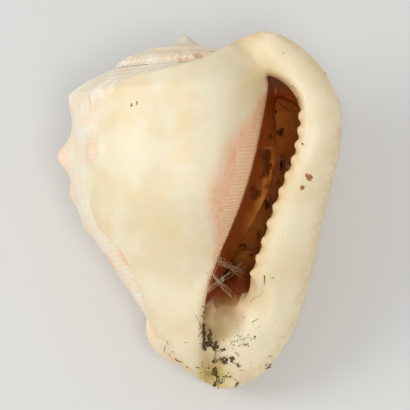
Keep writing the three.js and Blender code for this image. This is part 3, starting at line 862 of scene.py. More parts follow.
def marks_of(shell):
    """What each point of the shell belongs to, as numbers from 0 to 1, and where it is on its whorl."""
    points = from_ground(points_of(shell))
    edges = edges_of(shell)
    off_rim, place, share = RimMap().read(points)
    gap, below, nearest = into_mouth(points)
    x, y, z = points.T
    radius = np.hypot(x, z)
    turned = np.degrees(np.arctan2(z, x))
    last_angle = turned - 360 * np.ceil((turned - COIL_END) / 360)
    angle, along = whorl_at(points)
    length = shoulder_y(angle) - front_y(angle)
    at_teeth = within(TEETH_SPAN, place) * ease(0.16, 0.1, share) * ease(1.5, 0.5, below - 2)
    at_folds = within(FOLDS_SPAN, place) * ease(0.1, 0.05, share)
    at_bowl = within(BOWL_X, x) * within(BOWL_Y, y) * ease(-2, 2, z)
    on_rim = 1 - ease(0.9, 1.8, off_rim - 2.2 * np.maximum(at_teeth, at_folds) - 9 * at_bowl)
    shield = clamp01(mouth_cut(place)[:, 7]) * on_rim
    depth = whorl_radius(last_angle, y) - radius
    inside = ease(1.0, 2.6, depth) * (y < suture_y(last_angle) - 1) * (1 - on_rim)
    in_mouth = ease(0.0, 0.9, gap) * ease(0.2, 1.6, below)
    in_mouth = in_mouth * np.maximum(ease(0.5, 2.0, depth), ease(2, 8, z))
    inside = np.maximum(inside, in_mouth * (1 - at_bowl * ease(-44, -52, y)))
    line = smooth_line(FRONT_RIDGE, 60)
    gaps = np.linalg.norm(points[:, None] - line[None, ::3, :3], axis=2) - line[None, ::3, 3]
    ridge = 1 - ease(0.3, 2.0, gaps.min(1))
    step = (angle - KNOB_START) / KNOB_SPACING
    off_knob = (step - np.round(step)) * KNOB_SPACING
    between_knobs = np.exp(-((off_knob / BLOTCH_WIDTH) ** 4))
    rows = (strong * np.exp(-(((along - at) / wide) ** 4)) for at, wide, strong in BLOTCH_ROWS)
    wide = np.interp(y, *np.array(ROSE_WIDTHS).T)
    left_side = ease(14.5, 15.5, place)
    rose = ease(wide * 1.1 + 0.01, wide * 0.45, -gap) * left_side * ease(0.5, 3.0, wide)
    wide = np.interp(y, *np.array(FOLD_WIDTHS).T)
    folds = ease(wide * 1.15 + 0.01, wide * 0.8, -gap) * left_side * ease(0.3, 1.5, wide)
    shield = np.maximum(shield, folds * ease(0.9, 0.2, inside))
    # Painted light inside the mouth: deep is where the inside is painted brighter further in. Near the edge
    # and on the left wall it stays dark as painted shade.
    shaded_left_wall = ease(14.0, 15.0, nearest) * ease(16.0, 9.0, gap)
    deep = ease(2.0, 18.0, np.where(gap > -90, below, 30.0)) * (1 - 0.9 * shaded_left_wall) * ease(-34, -12, y)
    return {
        "lip": spread(np.maximum(on_rim - shield, 0), edges, 2),
        "shield": spread(shield, edges, 2),
        "inside": spread(inside, edges, 1),
        "deep": spread(deep, edges, 8),
        "front_ridge": spread(ridge * (1 - on_rim), edges, 2),
        "rose": spread(rose, edges, 2),
        "folds": spread(folds, edges, 1),
        "rim_place": spread(place, edges, 1),
        "rim_share": spread(share, edges, 2),
        "ribs": ribs_at(points, angle, along, shield),
        "cord": along * length,
        "turn": angle,
        "blotch": sum(rows) * between_knobs,
        "x": x,
        "y": y,
        "z": z,
    }


def linear(red, green, blue):
    """The colour that a screen shows with these 0 to 255 values, as Blender's linear numbers."""
    parts = [value / 255 for value in (red, green, blue)]
    return tuple(c / 12.92 if c <= 0.04045 else ((c + 0.055) / 1.055) ** 2.4 for c in parts)


class Paint:
    """Short ways to add nodes to a material. A colour may be given by its name in the colour settings."""

    def __init__(self, name, colours):
        self.material = bpy.data.materials.new(name)
        self.material.use_nodes = True
        self.nodes = self.material.node_tree.nodes
        self.links = self.material.node_tree.links
        self.shader = self.nodes["Principled BSDF"]
        self.colours = colours
        self.place = None
        self.marks = {}

    def plug(self, socket, value):
        """Gives a node's socket another node's output, a number or a colour."""
        if isinstance(value, bpy.types.NodeSocket):
            self.links.new(value, socket)
            return
        if isinstance(value, str):
            value = tuple(getattr(self.colours, value))
        socket.default_value = (*value, 1) if socket.type == "RGBA" else value

    def give(self, name, value):
        """Gives the shader's own socket of this name a value."""
        self.plug(self.shader.inputs[name], value)

    def mark(self, name):
        """What each point of the piece carries under this name."""
        if name not in self.marks:
            node = self.nodes.new("ShaderNodeAttribute")
            node.attribute_name = name
            self.marks[name] = node.outputs["Fac"]
        return self.marks[name]

    def math(self, kind, first, second=0.0, third=0.0):
        node = self.nodes.new("ShaderNodeMath")
        node.operation = kind
        for socket, value in zip(node.inputs, (first, second, third)):
            self.plug(socket, value)
        return node.outputs[0]

    def times(self, *values):
        result = values[0]
        for value in values[1:]:
            result = self.math("MULTIPLY", result, value)
        return result

    def less(self, value):
        """What is left of 1."""
        return self.math("SUBTRACT", 1.0, value)

    def ease(self, value, low, high, to_low=0.0, to_high=1.0):
        node = self.nodes.new("ShaderNodeMapRange")
        node.interpolation_type = "SMOOTHSTEP"
        for name, number in (
            ("Value", value), ("From Min", low), ("From Max", high), ("To Min", to_low), ("To Max", to_high)
        ):
            self.plug(node.inputs[name], number)
        return node.outputs["Result"]

    def object_place(self, stretch=(1.0, 1.0, 1.0)):
        if self.place is None:
            self.place = self.nodes.new("ShaderNodeTexCoord").outputs["Object"]
        node = self.nodes.new("ShaderNodeMapping")
        self.links.new(self.place, node.inputs["Vector"])
        node.inputs["Scale"].default_value = stretch
        return node.outputs["Vector"]

    def noise(self, spacing, detail=3.0, rough=0.55, stretch=(1.0, 1.0, 1.0), turn=0.0):
        """Noise whose lumps are about so many millimetres apart."""
        node = self.nodes.new("ShaderNodeTexNoise")
        node.noise_dimensions = "4D"
        node.inputs["W"].default_value = turn
        node.inputs["Scale"].default_value = 1 / (spacing * MM)
        node.inputs["Detail"].default_value = detail
        node.inputs["Roughness"].default_value = rough
        self.links.new(self.object_place(stretch), node.inputs["Vector"])
        return node.outputs["Fac"]

    def blend(self, first, second, amount):
        """The first colour going over to the second one."""
        node = self.nodes.new("ShaderNodeMix")
        node.data_type = "RGBA"
        self.plug(node.inputs[0], amount)
        self.plug(node.inputs[6], first)
        self.plug(node.inputs[7], second)
        return node.outputs[2]

    def bump(self, height, distance, strength=1.0, below=None):
        """The surface raised by so many millimetres, over another bump if there is one."""
        node = self.nodes.new("ShaderNodeBump")
        node.inputs["Distance"].default_value = distance * MM
        node.inputs["Strength"].default_value = strength
        self.plug(node.inputs["Height"], height)
        if below is not None:
            self.links.new(below, node.inputs["Normal"])
        return node.outputs["Normal"]

    def off_spot(self, at, sizes):
        """How far a point is from a spot's middle, squared, with 1 at the spot's half width and height."""
        squares = [
            self.math("POWER", self.math("MULTIPLY_ADD", self.mark(axis), 1 / size, -middle / size), 2.0)
            for axis, middle, size in zip("xy", at, sizes)
        ]
        return self.math("ADD", *squares)

    def waves(self, value, spacing, shift=0.0):
        """A wave from 0 to 1 along a number that is in the same unit as the spacing."""
        turned = self.math("MULTIPLY_ADD", value, 2 * math.pi / spacing, shift)
        return self.math("MULTIPLY_ADD", self.math("SINE", turned), 0.5, 0.5)


def whorl_colour(paint, net, broad, middle, fine):
    """Cream and pink whorls with blotches between the knobs, white ribs on the spire, and a worn apex."""
    x, y, z, ribs = (paint.mark(name) for name in ("x", "y", "z", "ribs"))
    whorl = paint.blend("white", "whorl", paint.ease(middle, 0.35, 0.6))
    uneven = paint.times(paint.ease(broad, 0.3, 0.55, 0.45, 0.95), paint.ease(y, 62.0, 54.0))
    whorl = paint.blend(whorl, "blotch", paint.times(paint.mark("blotch"), uneven))
    whorl = paint.blend(whorl, "groove", paint.ease(net, 0.45, 0.05, 0.0, 0.24))
    spire = paint.times(paint.ease(y, 58.0, 66.0), paint.ease(ribs, 0.3, 0.05))
    whorl = paint.blend(whorl, "spire", paint.times(spire, paint.ease(middle, 0.35, 0.62, 0.15, 0.8)))
    whorl = paint.blend(whorl, "white", paint.ease(ribs, 0.15, 0.6, 0.0, 0.6))
    # Orange brown patches under the shield's top edge: partly the spire's own colour, partly painted shade
    # of the shield's overhang.
    rust_and_shade_mask = paint.times(paint.ease(y, 68.0, 72.0), paint.ease(y, 83.0, 79.0), paint.ease(x, -12.0, 4.0))
    patches = paint.ease(paint.noise(5, 3, turn=23.0), 0.42, 0.6)
    whorl = paint.blend(whorl, "rust_and_shade", paint.times(rust_and_shade_mask, patches, paint.ease(z, 8.0, 18.0), 0.75))
    whorl = paint.blend(whorl, "worn", paint.ease(y, 81.5, 85.0, 0.0, 0.8))
    ridge = paint.times(paint.mark("front_ridge"), paint.ease(fine, 0.3, 0.7, 0.55, 0.95))
    return paint.blend(whorl, "ridge", ridge)


def glaze_colour(paint, folds, folded, broad, middle):
    """The cream shield with its yellowish patches, painted shade on its right side towards the mouth, and
    the rose and the folds beside the mouth.
    """
    glaze = paint.blend("shield", "shield_pale", paint.ease(broad, 0.38, 0.6))
    spots = paint.ease(paint.noise(24, 2, turn=11.0), 0.52, 0.7, 0.0, 0.6)
    glaze = paint.blend(glaze, "shield_deep", spots)
    # Painted shade: the shield's right side towards the mouth is painted tan.
    shaded_right_side = paint.times(paint.ease(paint.mark("x"), 12.0, 36.0), paint.ease(paint.mark("y"), 20.0, 50.0))
    glaze = paint.blend(glaze, "shield_painted_shade", paint.times(shaded_right_side, 0.75))
    streaks = paint.noise(2.6, 3, 0.6, (1.0, 0.22, 1.0), 2.0)
    pink = paint.blend("rose", "salmon", paint.ease(streaks, 0.42, 0.66, 0.0, 0.85))
    glaze = paint.blend(glaze, pink, paint.times(paint.mark("rose"), 0.9))
    glaze = paint.blend(glaze, "fold", paint.times(folds, paint.ease(middle, 0.3, 0.7, 0.9, 0.5)))
    return paint.blend(glaze, "salmon", paint.times(folds, paint.ease(folded, 0.45, 0.0), 0.4))


def lip_colour(paint, broad, middle):
    """The rolled lip, with an orange tint along both of its edges."""
    share = paint.mark("rim_share")
    lip = paint.blend("lip", "lip_pale", paint.ease(broad, 0.35, 0.62))
    edge = paint.times(paint.ease(share, 0.72, 0.95), paint.ease(middle, 0.4, 0.6))
    lip = paint.blend(lip, "lip_edge", paint.times(edge, 0.5))
    return paint.blend(lip, "lip_edge", paint.ease(share, 0.2, 0.02, 0.0, 0.6))


def inside_colour(paint, middle, fine):
    """The orange brown inside with its dark stains, which pales into the canal. It is painted brighter
    deeper in as painted light, and darker near the mouth's edge, on its left wall and at its top as painted
    shade.
    """
    x, y, z, deep = (paint.mark(name) for name in ("x", "y", "z", "deep"))
    # Painted light and shade: bright orange deep inside, dark orange brown near the edge and on the left
    # wall.
    inside = paint.blend("inside_shaded", "inside", deep)
    inside = paint.blend(inside, "inside_light", paint.times(paint.ease(middle, 0.4, 0.68), deep))
    stained = paint.noise(8, 4, 0.65, (1.0, 0.6, 1.0), 13.0)
    inside = paint.blend(inside, "stain", paint.ease(stained, 0.56, 0.66, 0.0, 0.85))
    ragged = paint.math("MULTIPLY_ADD", fine, 3.0, -3.75)
    ragged = paint.math("MULTIPLY_ADD", paint.noise(3.6, 3, 0.6, turn=29.0), 4.5, ragged)
    for px, py, wide, tall in STAINS:
        off = paint.math("ADD", paint.off_spot(on_photo(px, py), (wide, tall)), ragged)
        inside = paint.blend(inside, "stain", paint.ease(off, 1.2, 0.2, 0.0, 0.9))
    # Painted shade: the top of the mouth is painted the dark shaded orange brown.
    shaded_mouth_top = paint.times(paint.ease(y, 42.0, 52.0), paint.ease(z, -8.0, 2.0))
    inside = paint.blend(inside, "inside_shaded", shaded_mouth_top)
    inside = paint.blend(inside, "inside_top", paint.ease(y, 58.0, 68.0, 0.0, 0.8))
    to_canal = paint.math("MULTIPLY_ADD", middle, 9.0, paint.math("MULTIPLY_ADD", x, -0.35, y))
    inside = paint.blend(inside, "canal_tan_and_shade", paint.ease(to_canal, -44.0, -49.0))
    return paint.blend(inside, "canal", paint.ease(to_canal, -47.0, -56.0))


def with_stains(paint, colour, inside, middle, fine):
    """The colour with painted shade in the bowl at the canal, the soiled front end, freckles, and smears on
    the lip.
    """
    x, y, z = (paint.mark(name) for name in "xyz")
    # Painted shade: the bowl where the lip runs into the canal is painted tan, paler further down.
    bowl_shade = paint.ease(paint.off_spot(CANAL_BOWL_SHADE[:2], CANAL_BOWL_SHADE[2:]), 1.1, 0.1, 0.0, 0.85)
    bowl_shade = paint.times(bowl_shade, paint.ease(middle, 0.3, 0.6, 0.7, 1.0), paint.ease(x, 8.0, 12.0))
    floor = paint.blend("canal", "canal_tan_and_shade", paint.ease(y, -57.0, -45.0, 0.0, 0.95))
    colour = paint.blend(colour, floor, paint.times(bowl_shade, paint.ease(y, -40.0, -50.0)))
    to_front = paint.times(paint.ease(y, -70.0, -82.0), paint.ease(x, 4.0, 9.0), paint.ease(x, 26.0, 16.0))
    patches = paint.ease(paint.noise(4, 4, 0.65, turn=17.0), 0.3, 0.55)
    soiled = paint.times(to_front, patches, paint.less(inside), 0.85)
    colour = paint.blend(colour, "soil", soiled)
    freckles = paint.ease(paint.noise(2.2, 2, 0.5, turn=19.0), 0.73, 0.8, 0.0, 0.35)
    colour = paint.blend(colour, "freckle", paint.times(freckles, paint.less(inside)))
    ragged = paint.math("MULTIPLY_ADD", fine, 3.0, -1.5)
    for px, py, wide in SMEARS:
        off = paint.math("ADD", paint.off_spot(on_photo(px, py), (wide, wide)), ragged)
        smear = paint.times(paint.ease(off, 1.3, 0.3, 0.0, 0.95), paint.ease(z, 24.0, 27.0))
        colour = paint.blend(colour, "smear", smear)
    return colour


def shell_material(colours):
    """Old shell: cream and pink outside with fine cords, glazed over the shield and lip, brown inside."""
    paint = Paint("old_shell", colours)
    lip, shield, inside = (paint.mark(name) for name in ("lip", "shield", "inside"))
    folds = paint.times(paint.mark("folds"), paint.ease(inside, 0.5, 0.1))
    broad, middle = paint.noise(26, 3), paint.noise(7, 4, 0.6, turn=3.0)
    fine = paint.noise(1.4, 3, 0.6, turn=7.0)
    cord = paint.waves(paint.mark("cord"), CORD_SPACING, 1.0)
    drift = paint.math("MULTIPLY_ADD", paint.noise(9, 2, turn=5.0), 3.0, paint.mark("turn"))
    growth = paint.waves(drift, GROWTH_SPACING)
    growth = paint.times(paint.math("POWER", growth, 2.0), 0.8)
    net = paint.math("MAXIMUM", paint.math("POWER", cord, 2.0), growth)
    net = paint.times(net, paint.ease(broad, 0.35, 0.6, 0.35, 1.0))
    folded = paint.waves(paint.mark("rim_place"), FOLD_SPACING)

    whorl = whorl_colour(paint, net, broad, middle, fine)
    glaze = glaze_colour(paint, folds, folded, broad, middle)
    colour = paint.blend(whorl, glaze, paint.ease(shield, 0.25, 0.6))
    colour = paint.blend(colour, lip_colour(paint, broad, middle), paint.ease(lip, 0.25, 0.75))
    colour = paint.blend(colour, "lip_edge", paint.ease(inside, 0.05, 0.45))
    colour = paint.blend(colour, inside_colour(paint, middle, fine), paint.ease(inside, 0.35, 0.85))
    paint.give("Base Color", with_stains(paint, colour, inside, middle, fine))

    glazed = paint.ease(paint.math("ADD", shield, lip), 0.3, 0.7)
    smooth = paint.math("MAXIMUM", glazed, inside)
    rough = paint.ease(smooth, 0.2, 0.9, DULL, GLAZED)
    paint.give("Roughness", paint.math("MULTIPLY_ADD", middle, 0.12, rough))
    off_ridge = paint.less(paint.times(paint.mark("front_ridge"), 0.7))
    relief = paint.times(net, paint.less(smooth), off_ridge, paint.ease(paint.mark("y"), 82.0, 77.0))
    normal = paint.bump(relief, CORD_HEIGHT)
    normal = paint.bump(paint.times(folded, folds), FOLD_HEIGHT, below=normal)
    normal = paint.bump(middle, LUMP_HEIGHT, 0.5, below=normal)
    grain = paint.times(fine, paint.ease(smooth, 0.2, 0.9, 1.0, 0.25))
    paint.give("Normal", paint.bump(grain, FINE_HEIGHT, 0.6, below=normal))
    paint.give("Subsurface Weight", 0.12)
    paint.give("Subsurface Radius", (1.0, 0.5, 0.3))
    paint.give("Subsurface Scale", 3 * MM)
    paint.give("IOR", 1.5)
    return paint.material


def colour_of(name, description, red, green, blue):
    """A setting for a colour, given by its 0 to 255 values on a screen."""
    shade = linear(red, green, blue)
    return bpy.props.FloatVectorProperty(
        name=name, description=description, subtype="COLOR", size=3, min=0, max=1, default=shade
    )


class HelmetShellColours(bpy.types.PropertyGroup):
    """Colours of the shell and its dirt."""

    white: colour_of("White", "White bands of the whorls", 252, 243, 224)
    whorl: colour_of("Whorl", "Cream of the whorls", 255, 234, 202)
    blotch: colour_of("Blotch", "Pinkish orange blotches between the knobs", 250, 210, 176)
    groove: colour_of("Groove", "Grooves between the fine cords", 245, 212, 180)
    spire: colour_of("Spire", "Warm patches on the spire", 248, 222, 188)
    # Orange brown under the shield's top edge, partly painted shade of its overhang.
    rust_and_shade: colour_of("Rust", "Orange brown along the shield's top edge", 226, 168, 112)
    worn: colour_of("Worn", "Greyish worn apex", 222, 214, 190)
    ridge: colour_of("Front ridge", "Pinkish orange ridge at the front", 250, 218, 178)
    shield: colour_of("Shield", "Cream glaze of the shield", 238, 219, 178)
    shield_pale: colour_of("Pale shield", "Palest glaze of the shield", 245, 231, 198)
    shield_deep: colour_of("Deep shield", "Yellowish patches on the shield", 240, 212, 160)
    # Painted shade: tan on the shield's right side towards the mouth.
    shield_painted_shade: colour_of("Tan shield", "Tan of the shield towards the mouth", 226, 206, 164)
    rose: colour_of("Rose", "Rose beside the mouth", 242, 186, 150)
    salmon: colour_of("Salmon", "Orange streaks beside the mouth", 232, 156, 112)
    fold: colour_of("Fold", "Fine folds on the mouth's left edge", 242, 204, 164)
    lip: colour_of("Lip", "Rolled outer lip", 237, 216, 175)
    lip_pale: colour_of("Pale lip", "Palest part of the lip", 244, 228, 192)
    lip_edge: colour_of("Lip edge", "Orange tint along the lip's edges", 226, 186, 132)
    # Painted light: the bright orange that the inside is painted deep in.
    inside: colour_of("Inside", "Deep orange brown inside", 255, 160, 66)
    # Painted shade: the dark orange brown near the mouth's edge, on its left wall and at its top.
    inside_shaded: colour_of("Inside edge", "Dark orange brown just inside the mouth", 130, 56, 14)
    # Lighter patches, only where the inside is painted brighter deep in.
    inside_light: colour_of("Light inside", "Lighter orange brown inside", 255, 184, 96)
    stain: colour_of("Stain", "Dark stains inside", 84, 40, 14)
    inside_top: colour_of("Inside top", "Greyish brown at the top of the mouth", 136, 96, 62)
    # Tan where the mouth runs into the canal, and also the painted shade of the canal's bowl.
    canal_tan_and_shade: colour_of("Tan canal", "Tan where the mouth runs into the canal", 158, 112, 58)
    canal: colour_of("Canal", "Cream floor of the canal", 190, 162, 112)
    soil: colour_of("Soil", "Yellow green soiling at the front", 222, 190, 86)
    smear: colour_of("Smear", "Brown smears on the lip", 168, 94, 20)
    freckle: colour_of("Freckle", "Faint brown freckles", 178, 140, 92)
    crumb: colour_of("Crumb", "Black brown crumbs of dirt", 58, 42, 20)
    fibre: colour_of("Fibre", "Plant fibres in the dirt", 128, 100, 52)
    silk: colour_of("Silk", "Silk threads in the mouth", 244, 206, 160)
    fleck: colour_of("Fleck", "Small green fleck in the mouth", 60, 150, 80)
    floor: colour_of("Floor", "Pale floor", 223, 221, 218)


class HelmetShellSizes(bpy.types.PropertyGroup):
    """Sizes of the shell's mesh."""

    grain: bpy.props.FloatProperty(
        name="Grain", description="Size of the mesh's faces", default=0.8 * MM, min=0.4 * MM, unit="LENGTH"
    )
    most_faces: bpy.props.IntProperty(
        name="Most triangles", description="Triangles that the finished shell may have", default=190000
    )
    softening: bpy.props.IntProperty(
        name="Softening", description="Rounds of smoothing over the finished forms", default=3
    )


class ShellOperator(bpy.types.Operator):
    """Builds the shell itself."""

    bl_idname = "helmet_shell.build_shell"
    bl_label = "Build the shell"

    def execute(self, context):
        sizes = context.scene.helmet_shell_sizes
        shell = joined(whorls())
        finished_with(shell, "REMESH", mode="VOXEL", voxel_size=sizes.grain)
        hollow = lofted("hollow", np.concatenate([
            hollow_sections(np.linspace(*HOLLOW_ANGLES, 105), 40),
            mouth_section(-1, 40),
            mouth_section(30, 40),
        ]))
        cut_away(shell, hollow)
        cut_away(shell, tube("canal", CANAL))
        all_round = np.linspace(0, PLACES, PLACES * 24, endpoint=False)
        rim = lofted("rim", rim_sections(all_round, 48), ring=True)
        column = tube("column", FRONT_COLUMN)
        ridge = tube("ridge", FRONT_RIDGE, 40, 24)
        slope, bank = tube("slope", CANAL_SLOPE), tube("bank", CANAL_BANK)
        teeth = toothed("teeth", LIP_TEETH) + toothed("folds", COLUMELLA_FOLDS)
        shell = joined([shell, rim, column, ridge, slope, bank, *teeth])
        finished_with(shell, "REMESH", mode="VOXEL", voxel_size=sizes.grain)
        cut_away(shell, tube("scoop", CANAL_SCOOP))
        finished_with(shell, "REMESH", mode="VOXEL", voxel_size=sizes.grain)
        biggest_part(shell)
        finished_with(shell, "SMOOTH", factor=0.5, iterations=sizes.softening)
        relaxed(shell)
        faces = sum(len(face.vertices) - 2 for face in shell.data.polygons)
        kept = min(1.0, sizes.most_faces / faces)
        finished_with(shell, "DECIMATE", ratio=kept, use_collapse_triangulate=True)
        for name, values in marks_of(shell).items():
            give(shell, name, values)
        shell.data.materials.clear()
        shell.data.materials.append(shell_material(context.scene.helmet_shell_colours))
        only(shell)
        bpy.ops.object.shade_smooth()
        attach(shell, "root")
        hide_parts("shell")
        return {"FINISHED"}


def on_photo(px, py):
    """The x and y in the shell's own frame that a pixel of the 410 pixel photograph looks at."""
    return (px - AXIS_PIXEL) * PIXEL, (CENTRE_PIXEL - py) * PIXEL


class Ground:
    """Finds where the shell's surface is under a place, seen as the photograph sees it."""

    def __init__(self, shell):
        faces = [tuple(face.vertices) for face in shell.data.polygons]
        self.tree = BVHTree.FromPolygons(from_ground(points_of(shell)).tolist(), faces)

    def under(self, px, py):
        """The surface's place and direction under a pixel, or nothing where the pixel misses the shell."""
        x, y = on_photo(px, py)
        eye = np.array(LOOKS_AT) + np.array((0.0, 0.0, CAMERA_DISTANCE))
        ray = np.array((x, y, LOOKS_AT[2])) - eye
        hit, normal, _, _ = self.tree.ray_cast(Vector(eye.tolist()), Vector(ray.tolist()).normalized())
        if hit is None:
            return None, None
        return np.array(hit), np.array(normal)


def lump(rng, size):
    """A small rough lump about the origin: its corners and faces."""
    points = np.array(LUMP_POINTS) * rng.uniform(0.6, 1.25, (len(LUMP_POINTS), 1))
    points = points * (size * rng.uniform(0.55, 1.3, 3))
    return points, LUMP_FACES


class Heap:
    """Collects the corners and faces of many small things, to be one mesh."""

    def __init__(self):
        self.points = []
        self.faces = []
        self.count = 0

    def add(self, points, faces):
        self.points.append(np.asarray(points, float))
        self.faces += [tuple(self.count + corner for corner in face) for face in faces]
        self.count += len(points)

    def add_tube(self, line, sides=5):
        sections = sweep_sections(line, sides)
        self.add(sections.reshape(-1, 3), strip_faces(*sections.shape[:2]))

    def made(self, name, material):
        piece = mesh_object(name, np.concatenate(self.points), self.faces)
        facing_out(piece)
        piece.data.materials.append(material)
        bpy.ops.object.shade_smooth()
        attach(piece, "root")
        return piece


def laid_line(ground, ends, half, bend, rng, steps=12):
    """A bent line of x, y, z, radius points that lies on the shell between two pixels."""
    start, end = np.array(ends[:2]), np.array(ends[2:])
    side = np.array((start[1] - end[1], end[0] - start[0]))
    t = np.linspace(0, 1, steps)[:, None]
    once = np.sin(t * math.pi) * rng.uniform(-0.35, 0.35)
    twice = np.sin(t * 2 * math.pi) * rng.uniform(-0.2, 0.2)
    sway = bend * (once + twice)
    line = []
    for px, py in mix(start, end, t) + side * sway:
        hit, normal = ground.under(px, py)
        if hit is not None:
            line.append([*(hit + normal * half * 0.8), half])
    if len(line) < 4:
        return None
    line = np.array(line)
    line[:, 2] = np.maximum(line[:, 2], mix(line[0, 2], line[-1, 2], np.linspace(0, 1, len(line))) - 0.6)
    line[:, 3] *= np.linspace(1.0, 0.55, len(line))
    return line


def plain_material(name, colours, dark, light, spacing, roughness):
    """A mottled, slightly bumpy material."""
    paint = Paint(name, colours)
    paint.give("Base Color", paint.blend(dark, light, paint.ease(paint.noise(spacing), 0.35, 0.65)))
    paint.give("Roughness", roughness)
    paint.give("Normal", paint.bump(paint.noise(spacing / 3), 0.1))
    return paint.material


class DirtOperator(bpy.types.Operator):
    """Lays the crumbs of dirt and the plant fibres on the shell."""

    bl_idname = "helmet_shell.lay_dirt"
    bl_label = "Lay the dirt"

    def execute(self, context):
        colours = context.scene.helmet_shell_colours
        ground = Ground(bpy.data.objects["helmet_shell"])
        rng = np.random.default_rng(DIRT_SEED)
        crumbs, fibres = Heap(), Heap()
        for px, py, across, down, count, size in CRUMBS:
            for _ in range(count):
                at = np.array((px, py)) + rng.normal(0, 0.62, 2) * (across, down)
                hit, normal = ground.under(*at)
                if hit is None:
                    continue
                points, faces = lump(rng, size * rng.uniform(0.35, 0.95))
                crumbs.add(points + hit + normal * size * 0.15, faces)
                if size > 0.5 and rng.random() < 0.45:
                    line = laid_line(ground, (*at, *(at + rng.normal(0, 2.6, 2))), 0.1, 1.0, rng, 6)
                    if line is not None:
                        fibres.add_tube(line, 4)
        for row in FIBRES:
            line = laid_line(ground, row[:4], row[4], row[5], rng)
            if line is not None:
                fibres.add_tube(line)
        crumbs.made("dirt_crumbs", plain_material("dirt", colours, "crumb", "fibre", 1.5, 0.85))
        fibres.made("dirt_fibres", plain_material("plant_fibre", colours, "crumb", "fibre", 3.0, 0.75))
        return {"FINISHED"}


class ThreadsOperator(bpy.types.Operator):
    """Strings the silk threads in the mouth and lays the green fleck."""

    bl_idname = "helmet_shell.string_threads"
    bl_label = "String the threads"

    def execute(self, context):
        colours = context.scene.helmet_shell_colours
        ground = Ground(bpy.data.objects["helmet_shell"])
        rng = np.random.default_rng(THREAD_SEED)
        threads = Heap()
        for x0, y0, x1, y1, sag, strands in THREADS:
            for _ in range(strands):
                ends = np.array((x0, y0, x1, y1)) + rng.normal(0, 1.8, 4)
                first, _ = ground.under(*ends[:2])
                last, _ = ground.under(*ends[2:])
                if first is None or last is None:
                    continue
                t = np.linspace(0, 1, 16)[:, None]
                line = mix(first, last, t)
                line[:, 2:] -= 4 * t * (1 - t) * sag
                line += np.sin(t * math.pi) * np.cumsum(rng.normal(0, 0.28, (16, 3)), axis=0) * (1, 1, 0.4)
                threads.add_tube(np.concatenate([line, np.full((16, 1), THREAD_RADIUS)], 1), 4)
        silk = Paint("silk", colours)
        silk.give("Base Color", "silk")
        silk.give("Roughness", silk.ease(silk.noise(2.0), 0.3, 0.7, 0.35, 0.55))
        threads.made("silk_threads", silk.material)
        hit, normal = ground.under(*GREEN_FLECK)
        fleck = Heap()
        around = np.linspace(0, 2 * math.pi, 9, endpoint=False)
        rim = np.stack([np.cos(around) * 1.6, np.sin(around) * 2.0, rng.uniform(0.2, 0.9, 9)], -1)
        rim[:, :2] *= rng.uniform(0.65, 1.1, (9, 1))
        below = rim - (0.0, 0.0, 0.22)
        points = np.concatenate([rim, below, [(0.1, 0.2, 1.1)], [(0.1, 0.2, 0.85)]]) + hit + normal * 0.3
        faces = [(i, (i + 1) % 9, 18) for i in range(9)] + [(9 + (i + 1) % 9, 9 + i, 19) for i in range(9)]
        faces += [(i, 9 + i, 9 + (i + 1) % 9, (i + 1) % 9) for i in range(9)]
        fleck.add(points, faces)
        pale = tuple(0.5 + 0.5 * c for c in colours.fleck)
        fleck.made("green_fleck", plain_material("leaf", colours, "fleck", pale, 0.9, 0.4))
        return {"FINISHED"}


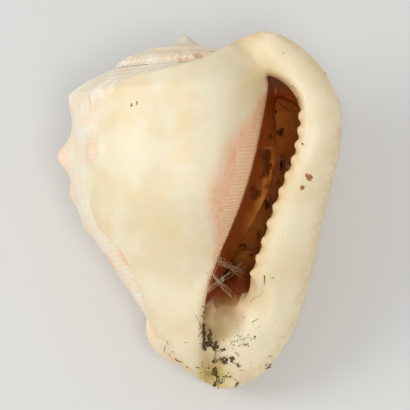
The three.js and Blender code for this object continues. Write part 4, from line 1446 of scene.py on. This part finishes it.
class StageOperator(bpy.types.Operator):
    """Sets up the floor, the lights and the camera."""

    bl_idname = "helmet_shell.set_stage"
    bl_label = "Set the stage"

    def execute(self, context):
        bpy.ops.object.select_all(action="DESELECT")
        bpy.ops.mesh.primitive_plane_add(size=6, location=(0, 0, -0.3 * MM))
        floor = context.object
        floor.name = "floor"
        paper = Paint("pale_floor", context.scene.helmet_shell_colours)
        paper.give("Base Color", "floor")
        paper.give("Roughness", 0.6)
        paper.give("Specular IOR Level", 0.2)
        floor.data.materials.append(paper.material)
        world = bpy.data.worlds.new("studio")
        world.use_nodes = True
        sky = world.node_tree.nodes["Background"]
        sky.inputs["Color"].default_value = SKY_COLOUR
        sky.inputs["Strength"].default_value = SKY_STRENGTH
        context.scene.world = world
        context.scene.view_settings.view_transform = "Standard"
        middle = Vector(to_ground(np.array(LOOKS_AT)).tolist())
        right, up, back = (Vector(column.tolist()) for column in TO_GROUND.T)
        for name, place, size, power in LAMPS:
            lamp = bpy.data.lights.new(name, "AREA")
            lamp.shape = "DISK"
            lamp.size = size
            lamp.energy = power
            holder = bpy.data.objects.new(name, lamp)
            context.scene.collection.objects.link(holder)
            holder.location = middle + right * place[0] + up * place[1] + back * place[2]
            holder.rotation_mode = "QUATERNION"
            holder.rotation_quaternion = (middle - holder.location).to_track_quat("-Z", "Y")
        camera = bpy.data.cameras.new("camera")
        camera.sensor_width = SENSOR_WIDTH
        camera.lens = SENSOR_WIDTH * CAMERA_DISTANCE / FRAME_WIDTH
        camera.clip_start = 0.1
        camera.clip_end = 20
        stand = bpy.data.objects.new("camera", camera)
        context.scene.collection.objects.link(stand)
        stand.location = middle + back * CAMERA_DISTANCE * MM
        stand.rotation_mode = "QUATERNION"
        stand.rotation_quaternion = Matrix((right, up, back)).transposed().to_quaternion()
        context.scene.camera = stand
        return {"FINISHED"}


OPERATORS = (ShellOperator, DirtOperator, ThreadsOperator, StageOperator)


class HelmetShellPanel(bpy.types.Panel):
    """Lists the steps that build the shell, with its sizes and colours."""

    bl_idname = "VIEW3D_PT_helmet_shell"
    bl_label = "Helmet shell"
    bl_space_type = "VIEW_3D"
    bl_region_type = "UI"
    bl_category = "Helmet shell"

    def draw(self, context):
        for one in OPERATORS:
            self.layout.operator(one.bl_idname)
        for group in (context.scene.helmet_shell_sizes, context.scene.helmet_shell_colours):
            for name in group.__annotations__:
                self.layout.prop(group, name)


CLASSES = (HelmetShellSizes, HelmetShellColours, *OPERATORS, HelmetShellPanel)


def register():
    for one in CLASSES:
        bpy.utils.register_class(one)
    bpy.types.Scene.helmet_shell_sizes = bpy.props.PointerProperty(type=HelmetShellSizes)
    bpy.types.Scene.helmet_shell_colours = bpy.props.PointerProperty(type=HelmetShellColours)


def unregister():
    del bpy.types.Scene.helmet_shell_sizes
    del bpy.types.Scene.helmet_shell_colours
    for one in reversed(CLASSES):
        bpy.utils.unregister_class(one)


def main():
    register()
    bpy.ops.helmet_shell.build_shell()
    bpy.ops.helmet_shell.lay_dirt()
    bpy.ops.helmet_shell.string_threads()
    bpy.ops.helmet_shell.set_stage()


if __name__ == "__main__":
    main()
